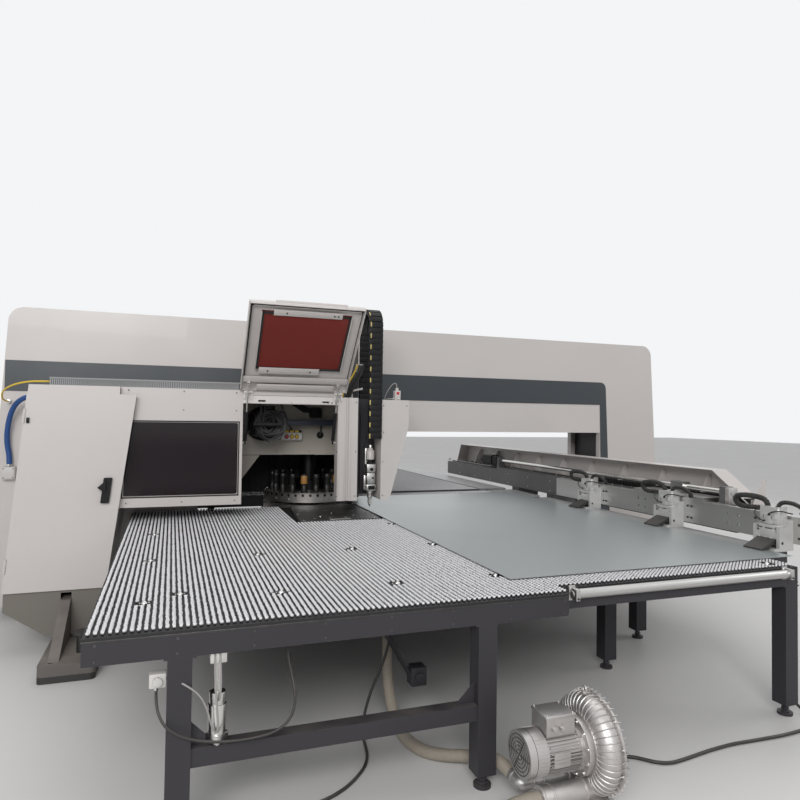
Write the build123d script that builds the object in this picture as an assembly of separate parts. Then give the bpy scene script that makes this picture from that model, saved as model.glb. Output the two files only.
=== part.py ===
from build123d import *
import math
import os

# Turret punch press with a closed frame, a laser head beside the turret and a
# brush table. Millimetres. X runs along the frame, Y away from the operator's
# side and Z up. The origin is on the floor at the centre of the whole machine.

# Overall sizes
FRAME_LENGTH = 6170.0
FRAME_HEIGHT = 2375.0
FRAME_DEPTH = 570.0
FLOOR_DEPTH = 7270.0
FRAME_CENTRE_Y = 160.0

# Sheet covers of the frame
COVER_DEPTH = 60.0
COVER_SHEET = 5.0
ARM_UNDERSIDE = 1440.0
END_SLOPE = 65.0
SLOPE_START = 1150.0
CORNER_RADIUS = 110.0
COVER_CLEARANCE = 2.0
THROAT_LEFT = -1620.0
THROAT_RIGHT = 2368.0
BAND_LOW = 1730.0
BAND_HIGH = 1965.0
BAND_DROP_WIDTH = 112.0
BAND_SHEET = 4.0
BAND_FOOT = 200.0

# Welded frame under the covers
PLATE = 40.0
BASE_TOP = 620.0
WELD_CLEARANCE = 10.0
FOOT_PAD = 40.0
FOOT_PLATE = 60.0
FOOT_WIDTH = 310.0
FOOT_X = -2385.0
FOOT_FRONT = -1495.0
WEB_THICKNESS = 60.0
WEB_HEIGHT = 350.0
WEB_RISE = 40.0
FOOT_BOLT_REACH = 60.0
LEVEL_SCREW_HEIGHT = 110.0
FOOT_BOLT_RADIUS = 24.0
FOOT_BOLT_SPACING = 180.0
ANCHOR_RADIUS = 15.0

# Saddle rails on the base beam
RAIL_Z = 570.0
RAIL_HEIGHT = 60.0
RAIL_DEPTH = 40.0
RAIL_START = 330.0
RAIL_END = 2090.0
RUNNING_GAP = 0.3

# Table
BED_LEFT = -2112.0
BED_RIGHT = 1353.0
PLATE_RIGHT = 1660.0
TABLE_FRONT = -3240.0
RIGHT_FRONT = -3150.0
FASCIA_END = -155.0
PLATE_FRONT = -2841.0
SLOT_WIDTH = 150.0
SLOT_MARGIN = 17.0
THROAT_BED_LEFT = -150.0
BED_BOTTOM = 781.0
BED_SHEET = 12.0
BRUSH_HEIGHT = 15.0
BRUSH_WIDTH = 16.0
BRUSH_PITCH = 23.5
BED_SEAM_Y = -915.0
BED_SEAM = 24.0
BRUSH_MARGIN = 10.0
FRAME_TUBE = 60.0
FASCIA_HEIGHT = 86.0
LEG = 86.0
LEG_WALL = 6.0
LEG_FOOT = 60.0
LEG_FOOT_RADIUS = 38.0
TIE_SPOTS = (-1500.0, 100.0)
LOW_BEAM_Z = 325.0
LOW_BEAM = 66.0
ROLLER_RADIUS = 22.0
ROLLER_LEFT = -70.0
ROLLER_RIGHT = 1240.0
ROLLER_Z = 768.0
ROLLER_PIN = 8.0

# Turret and punching station
TURRET_X = -637.0
TURRET_RADIUS = 405.0
TURRET_BOTTOM = 820.0
TURRET_HEIGHT = 82.0
DIE_DISC_HEIGHT = 80.0
DIE_DISC_TOP = 800.0
STATION_CIRCLE = 330.0
STATION_COUNT = 20
RIM_HOLE_COUNT = 36
RIM_HOLE_RADIUS = 13.0
TURRET_HUB = 150.0
TURRET_SHAFT = 80.0
HOLDER_RADIUS = 30.0
HOLDER_TOP = 1062.0
RAM_RADIUS = 45.0
RAM_GUIDE_RADIUS = 95.0
RAM_GUIDE_BOTTOM = 1150.0
RAM_BOTTOM = 1100.0
SHAFT_CLEARANCE = 0.05

# Front enclosure
ENCLOSURE_FRONT = -940.0
ENCLOSURE_BOTTOM = 925.0
ENCLOSURE_TOP = 1715.0
STRIP_TOP = 1750.0
BOX_LEFT = -2170.0
BOX_RIGHT = -1353.0
BOX_WALL = 20.0
PANE_BOTTOM = 1000.0
PANE_TOP = 1512.0
PANE_RIGHT = -1384.0
PANE_LEFT = -2140.0
PANE_THICKNESS = 6.0
BAY_RIGHT = -645.0
RAIL_LOW = 1655.0
POST_DEPTH = 90.0
COLUMN_RIGHT = -485.0
RECESS_RIGHT = -295.0
TAPER_RIGHT = -67.0
TAPER_KNEE = 1495.0
TAPER_FOOT = -214.0
SKIN = 6.0
RECESS_DEPTH = 190.0
CHAIN_REACH = 25.0
CHAIN_WIDTH = 102.0
CHAIN_BACK = 285.0
CHAIN_TOP = 2426.0
CHAIN_FOOT = 1400.0
SAIL_TOP = 2330.0
SAIL_DEPTH = 330.0
CHAIN_THICKNESS = 34.0

BAY_OPENING_TOP = 1230.0
BUTTON_SPOTS = (-905.0, -861.0, -817.0)
BUTTON_RADIUS = 16.0
BUTTON_Z = 1392.0
BUTTON_STEM = 13.0
BUTTON_BOX_DEPTH = 62.0

# Cabinet
DOOR_FRONT = -1005.0
DOOR_SHEET = 20.0
DOOR_TOP = 1697.0
DOOR_BOTTOM = 412.0
DOOR_TOP_LEFT = -2720.0
DOOR_TOP_RIGHT = -2066.0
DOOR_BOTTOM_LEFT = -2830.0
DOOR_BOTTOM_RIGHT = -2226.0
STRIP_LEFT = -2655.0
PLINTH_LOW = 120.0
PLINTH_SIDE_LOW = 290.0
PLINTH_TOE = -2575.0
HANDLE_X = -2246.0
HANDLE_LOW = 972.0
HANDLE_HIGH = 1139.0
HANDLE_WIDTH = 52.0
KNUCKLE_SPOTS = (540.0, 1500.0)
KNUCKLE_LENGTH = 45.0
KNUCKLE_RADIUS = 9.0
KNUCKLE_PIN = 4.0
KNUCKLE_LEAF = 70.0

# Hatch over the tool bay, shown propped open
HATCH_WIDTH = 790.0
HATCH_LENGTH = 768.0
HATCH_X = -985.0
HATCH_HINGE_Y = -958.0
HATCH_HINGE_Z = 1738.0
HATCH_OPEN = 138.0
HATCH_THICKNESS = 26.0
PANE_SEAT = 16.0
HATCH_PANE_LOW = 228.0
HATCH_PANE_HIGH = 690.0
HATCH_PANE_SIDE = 100.0
HINGE_HALF = 22.0
HINGE_RADIUS = 11.0
HINGE_PIN = 5.0
HINGE_CHEEK = 8.0
SPRING_PIN_REACH = 95.0
SPRING_PIN_DROP = 10.0
SPRING_INSET = 24.0
SPRING_EYE = 11.0
SPRING_NECK = 8.0
SPRING_EYE_WIDTH = 10.0
SPRING_PIN = 6.0
SPRING_LUG = 6.0
SPRING_FOOT_Y = -880.0
SPRING_FOOT_Z = 1366.0
SPRING_BARREL_RADIUS = 13.0
SPRING_ROD_RADIUS = 5.0
SPRING_BARREL_LENGTH = 240.0
SPRING_ROD_START = 220.0
SPRING_BORE_START = 40.0

# Beam, carriage and clamps
BEAM_LEFT = 1722.0
BEAM_WIDTH = 280.0
BEAM_BOTTOM = 830.0
BEAM_TOP = 990.0
BEAM_FRONT = -2420.0
BEAM_BACK = 2290.0
BEAM_WALL = 12.0
HOOD_TOP = 1220.0
HOOD_WIDTH = 140.0
HOOD_SLOPE = 340.0
HOOD_SHEET = 4.0
SADDLE_WIDTH = 250.0
TOP_RAIL_WIDTH = 30.0
TOP_RAIL_HEIGHT = 18.0
SCREW_RADIUS = 18.0
SCREW_X = 1790.0
SCREW_Z = 1085.0
SCREW_FRONT = -2300.0
SCREW_BACK = 960.0
BLOCK_LENGTH = 50.0
BAR_LEFT = 1655.0
BAR_RIGHT = 1716.0
BAR_LOW = 850.0
BAR_HIGH = 1010.0
BAR_FRONT = -3115.0
BAR_BACK = -415.0
CARRIAGE_FRONT = -2200.0
CARRIAGE_BACK = -1500.0
CARRIAGE_PLATE = 22.0
CARRIAGE_Z = 1014.0
CLAMP_SPOTS = (-2795.0, -1935.0, -995.0)
CLAMP_WIDTH = 180.0
CLAMP_LEFT = 1545.0
JAW_TIP = 1430.0
JAW_PIVOT_X = 1568.0
JAW_PIVOT_Z = 856.0
JAW_PIN = 9.0
CLAMP_CHAIN_BEND = 44.0
CLAMP_CHAIN_THICKNESS = 14.0
CLAMP_CHAIN_RUN = 200.0
CLAMP_CHAIN_BACK = 260.0

# Sheet held in the clamps
SHEET_LEFT = -322.0
SHEET_RIGHT = 1492.0
SHEET_FRONT = -3015.0
SHEET_LENGTH = 3200.0
SHEET_BOTTOM = 813.0
SHEET_THICKNESS = 2.0
LOWER_JAW_BOTTOM = 808.6

# Ring blower
BLOWER_X = -185.0
BLOWER_RADIUS = 212.0
BLOWER_AHEAD = 183.0
BLOWER_AXIS_Z = 236.0
BLOWER_TUBE = 60.0
BLOWER_RIB_COUNT = 30
BLOWER_MOTOR_RADIUS = 90.0
BLOWER_MOTOR_LEFT = -510.0
HOSE_RADIUS = 28.0
PORT_SPREAD = 58.0
PORT_Z = 88.0
PORT_LEFT_FRONT = -455.0
PORT_LEFT_REAR = -410.0
HOSE_SOCKET = (-744.0, -2473.0)

# Values that follow from the sizes above
HALF_LENGTH = FRAME_LENGTH / 2
FRAME_FRONT = FRAME_CENTRE_Y - FRAME_DEPTH / 2
FRAME_BACK = FRAME_CENTRE_Y + FRAME_DEPTH / 2
WELD_FRONT = FRAME_FRONT + COVER_DEPTH
WELD_BACK = FRAME_BACK - COVER_DEPTH
WELD_END = HALF_LENGTH - END_SLOPE - COVER_DEPTH - CORNER_RADIUS / 2
WELD_TOP = FRAME_HEIGHT - COVER_DEPTH
FOOT_TOP = FOOT_PAD + FOOT_PLATE
COVER_FOOT = FOOT_TOP + COVER_CLEARANCE
FOOT_REAR = FRAME_CENTRE_Y - FOOT_WIDTH / 4
SHORT_FOOT_FRONT = FRAME_FRONT - FOOT_WIDTH / 2
FOOT_SPOTS = ((FOOT_X, FOOT_FRONT), (-FOOT_X, SHORT_FOOT_FRONT))
TABLE_BACK = FLOOR_DEPTH + TABLE_FRONT - BLOWER_AHEAD - BLOWER_RADIUS
BED_TOP = BED_BOTTOM + BED_SHEET
BRUSH_TOP = BED_TOP + BRUSH_HEIGHT
TURRET_FRONT = FRAME_CENTRE_Y - TURRET_RADIUS
TURRET_BACK = FRAME_CENTRE_Y + TURRET_RADIUS
BED_SLOT_FRONT = TURRET_FRONT - SLOT_MARGIN
BED_SLOT_BACK = TURRET_BACK + SLOT_MARGIN
TURRET_TOP = TURRET_BOTTOM + TURRET_HEIGHT
RAM_X = TURRET_X + STATION_CIRCLE
BLOWER_Y = TABLE_FRONT - BLOWER_AHEAD
BEAM_RIGHT = BEAM_LEFT + BEAM_WIDTH
TOP_RAILS = (BEAM_LEFT + 8, SCREW_X + 36)


def block(x, y, z):
    """A box from low and high values along each axis."""
    size = (x[1] - x[0], y[1] - y[0], z[1] - z[0])
    return Pos((x[0] + x[1]) / 2, (y[0] + y[1]) / 2, (z[0] + z[1]) / 2) * Box(*size)


def bar_x(low, high, y, z, radius):
    """A round bar along X."""
    return Pos((low + high) / 2, y, z) * Rot(0, 90, 0) * Cylinder(radius, high - low)


def bar_y(x, low, high, z, radius):
    """A round bar along Y."""
    return Pos(x, (low + high) / 2, z) * Rot(90, 0, 0) * Cylinder(radius, high - low)


def bar_z(x, y, low, high, radius):
    """A round bar along Z."""
    return Pos(x, y, (low + high) / 2) * Cylinder(radius, high - low)


def outline(points, radii=None):
    """A closed flat face through the points, with rounded corners where asked."""
    if radii is None:
        return make_face(Polyline(*points, close=True))
    return make_face(FilletPolyline(*points, radius=radii, close=True))


def prism_y(points, low, high, radii=None):
    """A prism along Y of an outline given as (x, z) points."""
    face = outline([(x, low, z) for x, z in points], radii)
    return extrude(face, amount=high - low, dir=(0, 1, 0))


def prism_x(points, low, high, radii=None):
    """A prism along X of an outline given as (y, z) points."""
    face = outline([(low, y, z) for y, z in points], radii)
    return extrude(face, amount=high - low, dir=(1, 0, 0))


def prism_z(points, low, high, radii=None):
    """A prism along Z of an outline given as (x, y) points."""
    face = outline([(x, y, low) for x, y in points], radii)
    return extrude(face, amount=high - low, dir=(0, 0, 1))


def group(*shapes):
    """Separate solids kept together as one sub-part."""
    solids = []
    for shape in shapes:
        solids.extend(shape.solids())
    return Compound(solids)


def mirrored(shape):
    """The same shape on the other side of the frame's centre plane."""
    plane = Plane(origin=(0, FRAME_CENTRE_Y, 0), z_dir=(0, 1, 0))
    return mirror(shape, about=plane)


def band_notch(x):
    """Space that an enclosure leaves for the raised band on the frame's face."""
    return block(x, (FRAME_FRONT - BAND_SHEET, FRAME_FRONT), (BAND_LOW, STRIP_TOP))


def end_x(z):
    """Half length of the frame at a height, on its sloped ends."""
    if z <= SLOPE_START:
        return HALF_LENGTH
    return HALF_LENGTH - END_SLOPE * (z - SLOPE_START) / (FRAME_HEIGHT - SLOPE_START)


# Frame

def frame_base_beam():
    x = (-WELD_END, WELD_END)
    beam = block(x, (WELD_FRONT, WELD_BACK), (FOOT_TOP, BASE_TOP))
    beam -= block((x[0] + PLATE, x[1] - PLATE), (WELD_FRONT + PLATE, WELD_BACK - PLATE),
                  (FOOT_TOP + PLATE, BASE_TOP - PLATE))
    rail = block((RAIL_START, RAIL_END), (WELD_FRONT - RAIL_DEPTH, WELD_FRONT),
                 (RAIL_Z - RAIL_HEIGHT / 2, RAIL_Z + RAIL_HEIGHT / 2))
    return beam + rail + mirrored(rail)


def frame_columns():
    def column(x0, x1):
        y = (WELD_FRONT, WELD_BACK)
        z = (BASE_TOP, ARM_UNDERSIDE + WELD_CLEARANCE)
        post = block((x0, x1), y, z)
        return post - block((x0 + PLATE, x1 - PLATE), (y[0] + PLATE, y[1] - PLATE), (z[0] + PLATE, z[1] - PLATE))
    left = column(-WELD_END, THROAT_LEFT - COVER_DEPTH)
    right = column(THROAT_RIGHT + COVER_DEPTH, WELD_END)
    return group(left, right)


def frame_top_beam():
    low = ARM_UNDERSIDE + WELD_CLEARANCE
    x = (-WELD_END, WELD_END)
    beam = block(x, (WELD_FRONT, WELD_BACK), (low, WELD_TOP))
    beam -= block((x[0] + PLATE, x[1] - PLATE), (WELD_FRONT + PLATE, WELD_BACK - PLATE),
                  (low + PLATE, WELD_TOP - PLATE))
    guide = bar_z(RAM_X, FRAME_CENTRE_Y, RAM_GUIDE_BOTTOM, low, RAM_GUIDE_RADIUS)
    beam += guide
    return beam - bar_z(RAM_X, FRAME_CENTRE_Y, RAM_GUIDE_BOTTOM, low, RAM_RADIUS + SHAFT_CLEARANCE)


def tray(points, radii=None):
    """A folded cover: a front sheet with returned edges, open at the back."""
    shell = prism_y(points, FRAME_FRONT, FRAME_FRONT + COVER_DEPTH, radii)
    face = outline([(x, FRAME_FRONT, z) for x, z in points], radii)
    inner = offset(face, amount=-COVER_SHEET)
    hollow = extrude(inner, amount=COVER_DEPTH, dir=(0, 1, 0))
    return shell - Pos(0, COVER_SHEET, 0) * hollow


def upper_cover():
    top, low = FRAME_HEIGHT, ARM_UNDERSIDE
    points = [(-end_x(low), low), (end_x(low), low), (end_x(top), top), (-end_x(top), top)]
    return tray(points, [0, 0, CORNER_RADIUS, CORNER_RADIUS])


def leg_cover(inner, side):
    """Cover of one upright, from the floor side up to the arm."""
    low, high = COVER_FOOT, ARM_UNDERSIDE
    points = [(inner, low), (side * HALF_LENGTH, low), (side * HALF_LENGTH, SLOPE_START),
              (side * end_x(high), high), (inner, high)]
    return tray(points)


def side_covers():
    """The three covers of one face of the frame."""
    return [upper_cover(), leg_cover(THROAT_RIGHT, 1), leg_cover(THROAT_LEFT, -1)]


def front_covers():
    return group(*side_covers())


def rear_guard():
    """Guard over the part of the turret that stands out behind the frame."""
    x = (BOX_LEFT, TAPER_RIGHT)
    y = (FRAME_BACK, TURRET_BACK + FRAME_DEPTH / 2)
    z = (ENCLOSURE_BOTTOM, BAND_LOW)
    guard = block(x, y, z)
    hollow = block((x[0] + SKIN, x[1] - SKIN), (y[0], y[1] - SKIN), (z[0], z[1] - SKIN))
    return guard - hollow


def rear_covers():
    return group(*[mirrored(cover) for cover in side_covers()], rear_guard())


def end_covers():
    """Sheets wrapped over the two ends and the top, between the face covers."""
    low, top = COVER_FOOT, FRAME_HEIGHT
    points = [(-HALF_LENGTH, low), (HALF_LENGTH, low), (HALF_LENGTH, SLOPE_START), (end_x(top), top),
              (-end_x(top), top), (-HALF_LENGTH, SLOPE_START)]
    radii = [0, 0, 0, CORNER_RADIUS, CORNER_RADIUS, 0]
    y = (FRAME_FRONT + COVER_DEPTH, FRAME_BACK - COVER_DEPTH)
    wrap = prism_y(points, y[0], y[1], radii)
    face = outline([(x, y[0], z) for x, z in points], radii)
    wrap -= extrude(offset(face, amount=-COVER_SHEET), amount=y[1] - y[0], dir=(0, 1, 0))
    split = HALF_LENGTH - END_SLOPE - 2 * CORNER_RADIUS
    joint = COVER_SHEET
    depth = (y[0], y[1])
    bottom = block((-HALF_LENGTH, HALF_LENGTH), depth, (low, low + COVER_SHEET))
    wrap -= bottom
    for side in (-1, 1):
        edge = sorted((side * split, side * (split - joint)))
        wrap -= block(edge, depth, (low, top))
    return group(wrap)


def side_bands():
    """Dark band along the arm that turns down the right upright, on both faces."""
    outer_top = end_x(BAND_HIGH) - (HALF_LENGTH - THROAT_RIGHT - BAND_DROP_WIDTH) + END_SLOPE / 2
    outer_foot = THROAT_RIGHT + BAND_DROP_WIDTH + END_SLOPE / 2
    left = -end_x(BAND_HIGH) + COVER_SHEET
    points = [(left, BAND_LOW), (THROAT_RIGHT, BAND_LOW), (THROAT_RIGHT + COVER_SHEET, ARM_UNDERSIDE),
              (THROAT_RIGHT + END_SLOPE / 2, BAND_FOOT), (outer_foot, BAND_FOOT),
              (outer_top - END_SLOPE / 2, BAND_HIGH), (left, BAND_HIGH)]
    radii = [0, 0, 0, 0, 0, CORNER_RADIUS * 0.6, 0]
    band = prism_y(points, FRAME_FRONT - BAND_SHEET, FRAME_FRONT, radii)
    return group(band, mirrored(band))


def foot_footprint(x, front, low, high):
    """Block with the plan of one foot, with its two anchor holes."""
    plate = block((x - FOOT_WIDTH / 2, x + FOOT_WIDTH / 2), (front, FOOT_REAR), (low, high))
    plate = fillet(plate.edges().filter_by(Axis.Z).group_by(Axis.Y)[0], FOOT_PLATE / 2)
    for side in (-1, 1):
        plate -= bar_z(x + side * FOOT_BOLT_SPACING / 2, front + FOOT_BOLT_REACH, low, high, ANCHOR_RADIUS)
    return plate


def web_span():
    """X range of the outrigger's upright web."""
    centre = FOOT_X - FOOT_WIDTH / 4
    return (centre - WEB_THICKNESS / 2, centre + WEB_THICKNESS / 2)


def frame_feet():
    """Foot plates under the base beam: long outriggers left, short plates right."""
    web = prism_x([(FOOT_FRONT + FOOT_PLATE, FOOT_TOP), (FRAME_FRONT, FOOT_TOP), (FRAME_FRONT, WEB_HEIGHT + WEB_RISE),
                   (DOOR_FRONT, WEB_HEIGHT)], *web_span())
    feet = []
    for x, front in FOOT_SPOTS:
        foot = foot_footprint(x, front, FOOT_PAD, FOOT_TOP)
        if x == FOOT_X:
            foot += web
        feet.extend([foot, mirrored(foot)])
    return group(*feet)


def levelling_feet():
    """Rubber-faced pads under the foot plates and the levelling screws on them."""
    shapes = []
    for x, front in FOOT_SPOTS:
        pad = foot_footprint(x, front, 0, FOOT_PAD)
        shapes.extend([pad, mirrored(pad)])
    x = FOOT_X + FOOT_WIDTH / 6
    y = FOOT_FRONT + FOOT_WIDTH * 0.66
    top = FOOT_TOP + LEVEL_SCREW_HEIGHT
    screw = bar_z(x, y, FOOT_TOP, top, FOOT_BOLT_RADIUS) + bar_z(x, y, top, top + 18, 2 * FOOT_BOLT_RADIUS)
    shapes.extend([screw, mirrored(screw)])
    return group(*shapes)


# Cabinet at the left end

def door_edge(left, z):
    """X of a door edge at a height."""
    top = DOOR_TOP_LEFT if left else DOOR_TOP_RIGHT
    low = DOOR_BOTTOM_LEFT if left else DOOR_BOTTOM_RIGHT
    return low + (top - low) * (z - DOOR_BOTTOM) / (DOOR_TOP - DOOR_BOTTOM)


def cabinet_shell():
    """Sloped-side cabinet body, open at the front behind the door."""
    right = BOX_LEFT - 2
    slope = (DOOR_TOP - DOOR_BOTTOM) / (DOOR_TOP_RIGHT - DOOR_BOTTOM_RIGHT)
    knee = DOOR_BOTTOM + (right - DOOR_BOTTOM_RIGHT) * slope
    front = DOOR_FRONT + DOOR_SHEET + RUNNING_GAP
    points = [(DOOR_BOTTOM_LEFT, DOOR_BOTTOM), (DOOR_BOTTOM_RIGHT, DOOR_BOTTOM), (right, knee),
              (right, STRIP_TOP), (door_edge(True, STRIP_TOP), STRIP_TOP)]
    shell = prism_y(points, front, FRAME_FRONT)
    lintel = DOOR_TOP + BOX_WALL / 2
    opening = points[:3] + [(right, lintel), (door_edge(True, lintel), lintel)]
    face = outline([(x, front, z) for x, z in opening])
    inner = offset(face, amount=-BOX_WALL)
    shell -= extrude(inner, amount=FRAME_FRONT - front - BOX_WALL, dir=(0, 1, 0))
    shell -= band_notch((DOOR_BOTTOM_LEFT, right))
    for z in KNUCKLE_SPOTS:
        shell += shell_knuckle(z)
    return shell


def edge_bar(low, high, radius):
    """Round bar along the door's sloping left edge, between two heights."""
    foot = Vector(door_edge(True, low), DOOR_FRONT, low)
    head = Vector(door_edge(True, high), DOOR_FRONT, high)
    return Plane(origin=(foot + head) * 0.5, z_dir=head - foot) * Cylinder(radius, (head - foot).length)


def shell_knuckle(z):
    """Lower half of a door hinge: a leaf on the cabinet's side, a knuckle and its pin."""
    top = z + KNUCKLE_LENGTH
    leaf = [(door_edge(True, z) - KNUCKLE_RADIUS, z), (door_edge(True, z), z), (door_edge(True, top), top),
            (door_edge(True, top) - KNUCKLE_RADIUS, top)]
    shape = prism_y(leaf, DOOR_FRONT, DOOR_FRONT + KNUCKLE_LEAF)
    return shape + edge_bar(z, top, KNUCKLE_RADIUS) + edge_bar(z, top + KNUCKLE_LENGTH, KNUCKLE_PIN)


def cabinet_plinth():
    """Grey skirt under the door with its cut-off lower corner."""
    front = DOOR_FRONT + DOOR_SHEET + RUNNING_GAP
    points = [(DOOR_BOTTOM_LEFT + SKIN, DOOR_BOTTOM), (DOOR_BOTTOM_LEFT + SKIN, PLINTH_SIDE_LOW),
              (PLINTH_TOE, PLINTH_LOW), (DOOR_BOTTOM_RIGHT - SKIN, PLINTH_LOW),
              (DOOR_BOTTOM_RIGHT - SKIN, DOOR_BOTTOM)]
    skirt = prism_y(points, front, FRAME_FRONT)
    face = outline([(x, front + SKIN, z) for x, z in points])
    inner = offset(face, amount=-SKIN)
    skirt -= extrude(inner, amount=FRAME_FRONT - front, dir=(0, 1, 0))
    web = web_span()
    slot = (web[0] - COVER_CLEARANCE, web[1] + COVER_CLEARANCE)
    return skirt - block(slot, (front, FRAME_FRONT), (PLINTH_LOW, WEB_HEIGHT + WEB_RISE + COVER_CLEARANCE))


def cabinet_door():
    points = [(DOOR_BOTTOM_LEFT, DOOR_BOTTOM), (DOOR_BOTTOM_RIGHT, DOOR_BOTTOM),
              (DOOR_TOP_RIGHT, DOOR_TOP), (DOOR_TOP_LEFT, DOOR_TOP)]
    door = prism_y(points, DOOR_FRONT, DOOR_FRONT + DOOR_SHEET, [8, 8, 8, 8])
    for z in KNUCKLE_SPOTS:
        low = z + KNUCKLE_LENGTH + RUNNING_GAP
        door -= edge_bar(z - RUNNING_GAP, low, KNUCKLE_RADIUS + RUNNING_GAP)
        door += edge_bar(low, low + KNUCKLE_LENGTH, KNUCKLE_RADIUS)
        door -= edge_bar(low, low + KNUCKLE_LENGTH, KNUCKLE_PIN + SHAFT_CLEARANCE)
    return door - bar_y(HANDLE_X, DOOR_FRONT, DOOR_FRONT + DOOR_SHEET, HANDLE_LOW + HANDLE_WIDTH / 2,
                        10 + SHAFT_CLEARANCE)


def door_handle():
    """Swing handle: a flat lever on a round spindle through the door."""
    lean = HANDLE_WIDTH * 0.35
    half = HANDLE_WIDTH / 2
    points = [(HANDLE_X - half, HANDLE_LOW), (HANDLE_X + half, HANDLE_LOW),
              (HANDLE_X + half + lean, HANDLE_HIGH), (HANDLE_X - half + lean, HANDLE_HIGH)]
    front = DOOR_FRONT - RUNNING_GAP
    lever = prism_y(points, front - 22, front, [6, 6, 6, 6])
    paddle = prism_y([(HANDLE_X - half + lean * 0.5, HANDLE_LOW + 85),
                      (HANDLE_X + half * 0.2, HANDLE_LOW + 85),
                      (HANDLE_X + half * 0.2, HANDLE_LOW + 150),
                      (HANDLE_X - half - lean, HANDLE_LOW + 105)], front - 44, front - 22)
    spindle = bar_y(HANDLE_X, front, DOOR_FRONT + DOOR_SHEET, HANDLE_LOW + half, 10)
    return lever + paddle + spindle


# Enclosure in front of the frame

def window_box():
    """Box with a large window left of the tool bay, open underneath."""
    x = (BOX_LEFT, BOX_RIGHT)
    y = (ENCLOSURE_FRONT, FRAME_FRONT)
    box = block(x, y, (ENCLOSURE_BOTTOM, STRIP_TOP))
    box -= block((x[0] + BOX_WALL, x[1] - BOX_WALL), (y[0] + BOX_WALL, y[1]),
                 (ENCLOSURE_BOTTOM, STRIP_TOP - BOX_WALL))
    box -= block((x[0], x[1]), (y[0], y[0] + SKIN), (ENCLOSURE_TOP, STRIP_TOP))
    window = prism_y([(PANE_LEFT, PANE_BOTTOM), (PANE_RIGHT, PANE_BOTTOM), (PANE_RIGHT, PANE_TOP),
                      (PANE_LEFT, PANE_TOP)], y[0], y[0] + BOX_WALL, [12, 12, 12, 12])
    box -= band_notch(x)
    return box - window + spring_foot_pin(x[1], 1)


def spring_foot_pin(wall, side):
    """Boss on a wall of the bay beside which the foot of a gas spring sits."""
    reach = wall + side * (SPRING_INSET - SPRING_EYE_WIDTH / 2 - RUNNING_GAP)
    low, high = sorted((wall, reach))
    return bar_x(low, high, SPRING_FOOT_Y, SPRING_FOOT_Z, SPRING_PIN)


def window_pane():
    """Tinted pane held in the window's opening."""
    gap = RUNNING_GAP
    y = ENCLOSURE_FRONT + BOX_WALL
    return prism_y([(PANE_LEFT - BOX_WALL / 4, PANE_BOTTOM - BOX_WALL), (PANE_RIGHT + BOX_WALL / 4, PANE_BOTTOM - BOX_WALL),
                    (PANE_RIGHT + BOX_WALL / 4, PANE_TOP + BOX_WALL), (PANE_LEFT - BOX_WALL / 4, PANE_TOP + BOX_WALL)],
                   y + gap, y + gap + PANE_THICKNESS)


def hatch_knuckles():
    """X of the middle of the two hatch hinges."""
    half = HATCH_WIDTH / 2 - 60
    return (HATCH_X - half, HATCH_X + half)


def hinge_bracket(x):
    """Two cheeks on the head rail with the pin that carries a hatch knuckle."""
    y, z = HATCH_HINGE_Y, HATCH_HINGE_Z
    inner = HINGE_HALF + RUNNING_GAP
    outer = inner + HINGE_CHEEK
    bracket = bar_x(x - outer, x + outer, y, z, HINGE_PIN)
    for side in (-1, 1):
        low, high = sorted((x + side * inner, x + side * outer))
        arm = prism_x([(y + RUNNING_GAP, RAIL_LOW + 30), (ENCLOSURE_FRONT, RAIL_LOW + 30), (ENCLOSURE_FRONT, z),
                       (y, z + HINGE_RADIUS), (y, z)], low, high)
        bracket += arm + bar_x(low, high, y, z, HINGE_RADIUS)
    return bracket


def bay_panels():
    """Head rail and roof of the tool bay, and the back plate with its cut-out."""
    x = (BOX_RIGHT, BAY_RIGHT)
    rear = ENCLOSURE_FRONT + POST_DEPTH
    head = block(x, (ENCLOSURE_FRONT, rear), (RAIL_LOW, ENCLOSURE_TOP))
    head += block((x[0], COLUMN_RIGHT), (rear, FRAME_FRONT - SKIN), (ENCLOSURE_TOP - SKIN, ENCLOSURE_TOP))
    for centre in (x[0] + 135, x[1] - 95):
        low, high = RAIL_LOW + 14, RAIL_LOW + 27
        slot = [(centre - 28, low), (centre + 28, low), (centre + 28, high), (centre - 28, high)]
        head -= prism_y(slot, ENCLOSURE_FRONT, rear, [6, 6, 6, 6])
    for knuckle in hatch_knuckles():
        head += hinge_bracket(knuckle)
    right = TAPER_RIGHT - 2 * SKIN
    knee = ENCLOSURE_BOTTOM + 97
    points = [(x[0], ENCLOSURE_TOP), (x[0], knee), (x[0] + 77, knee), (x[0] + 231, BAY_OPENING_TOP),
              (right, BAY_OPENING_TOP), (right, ENCLOSURE_TOP)]
    plate = prism_y(points, FRAME_FRONT - SKIN, FRAME_FRONT)
    return group(head, plate)


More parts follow.
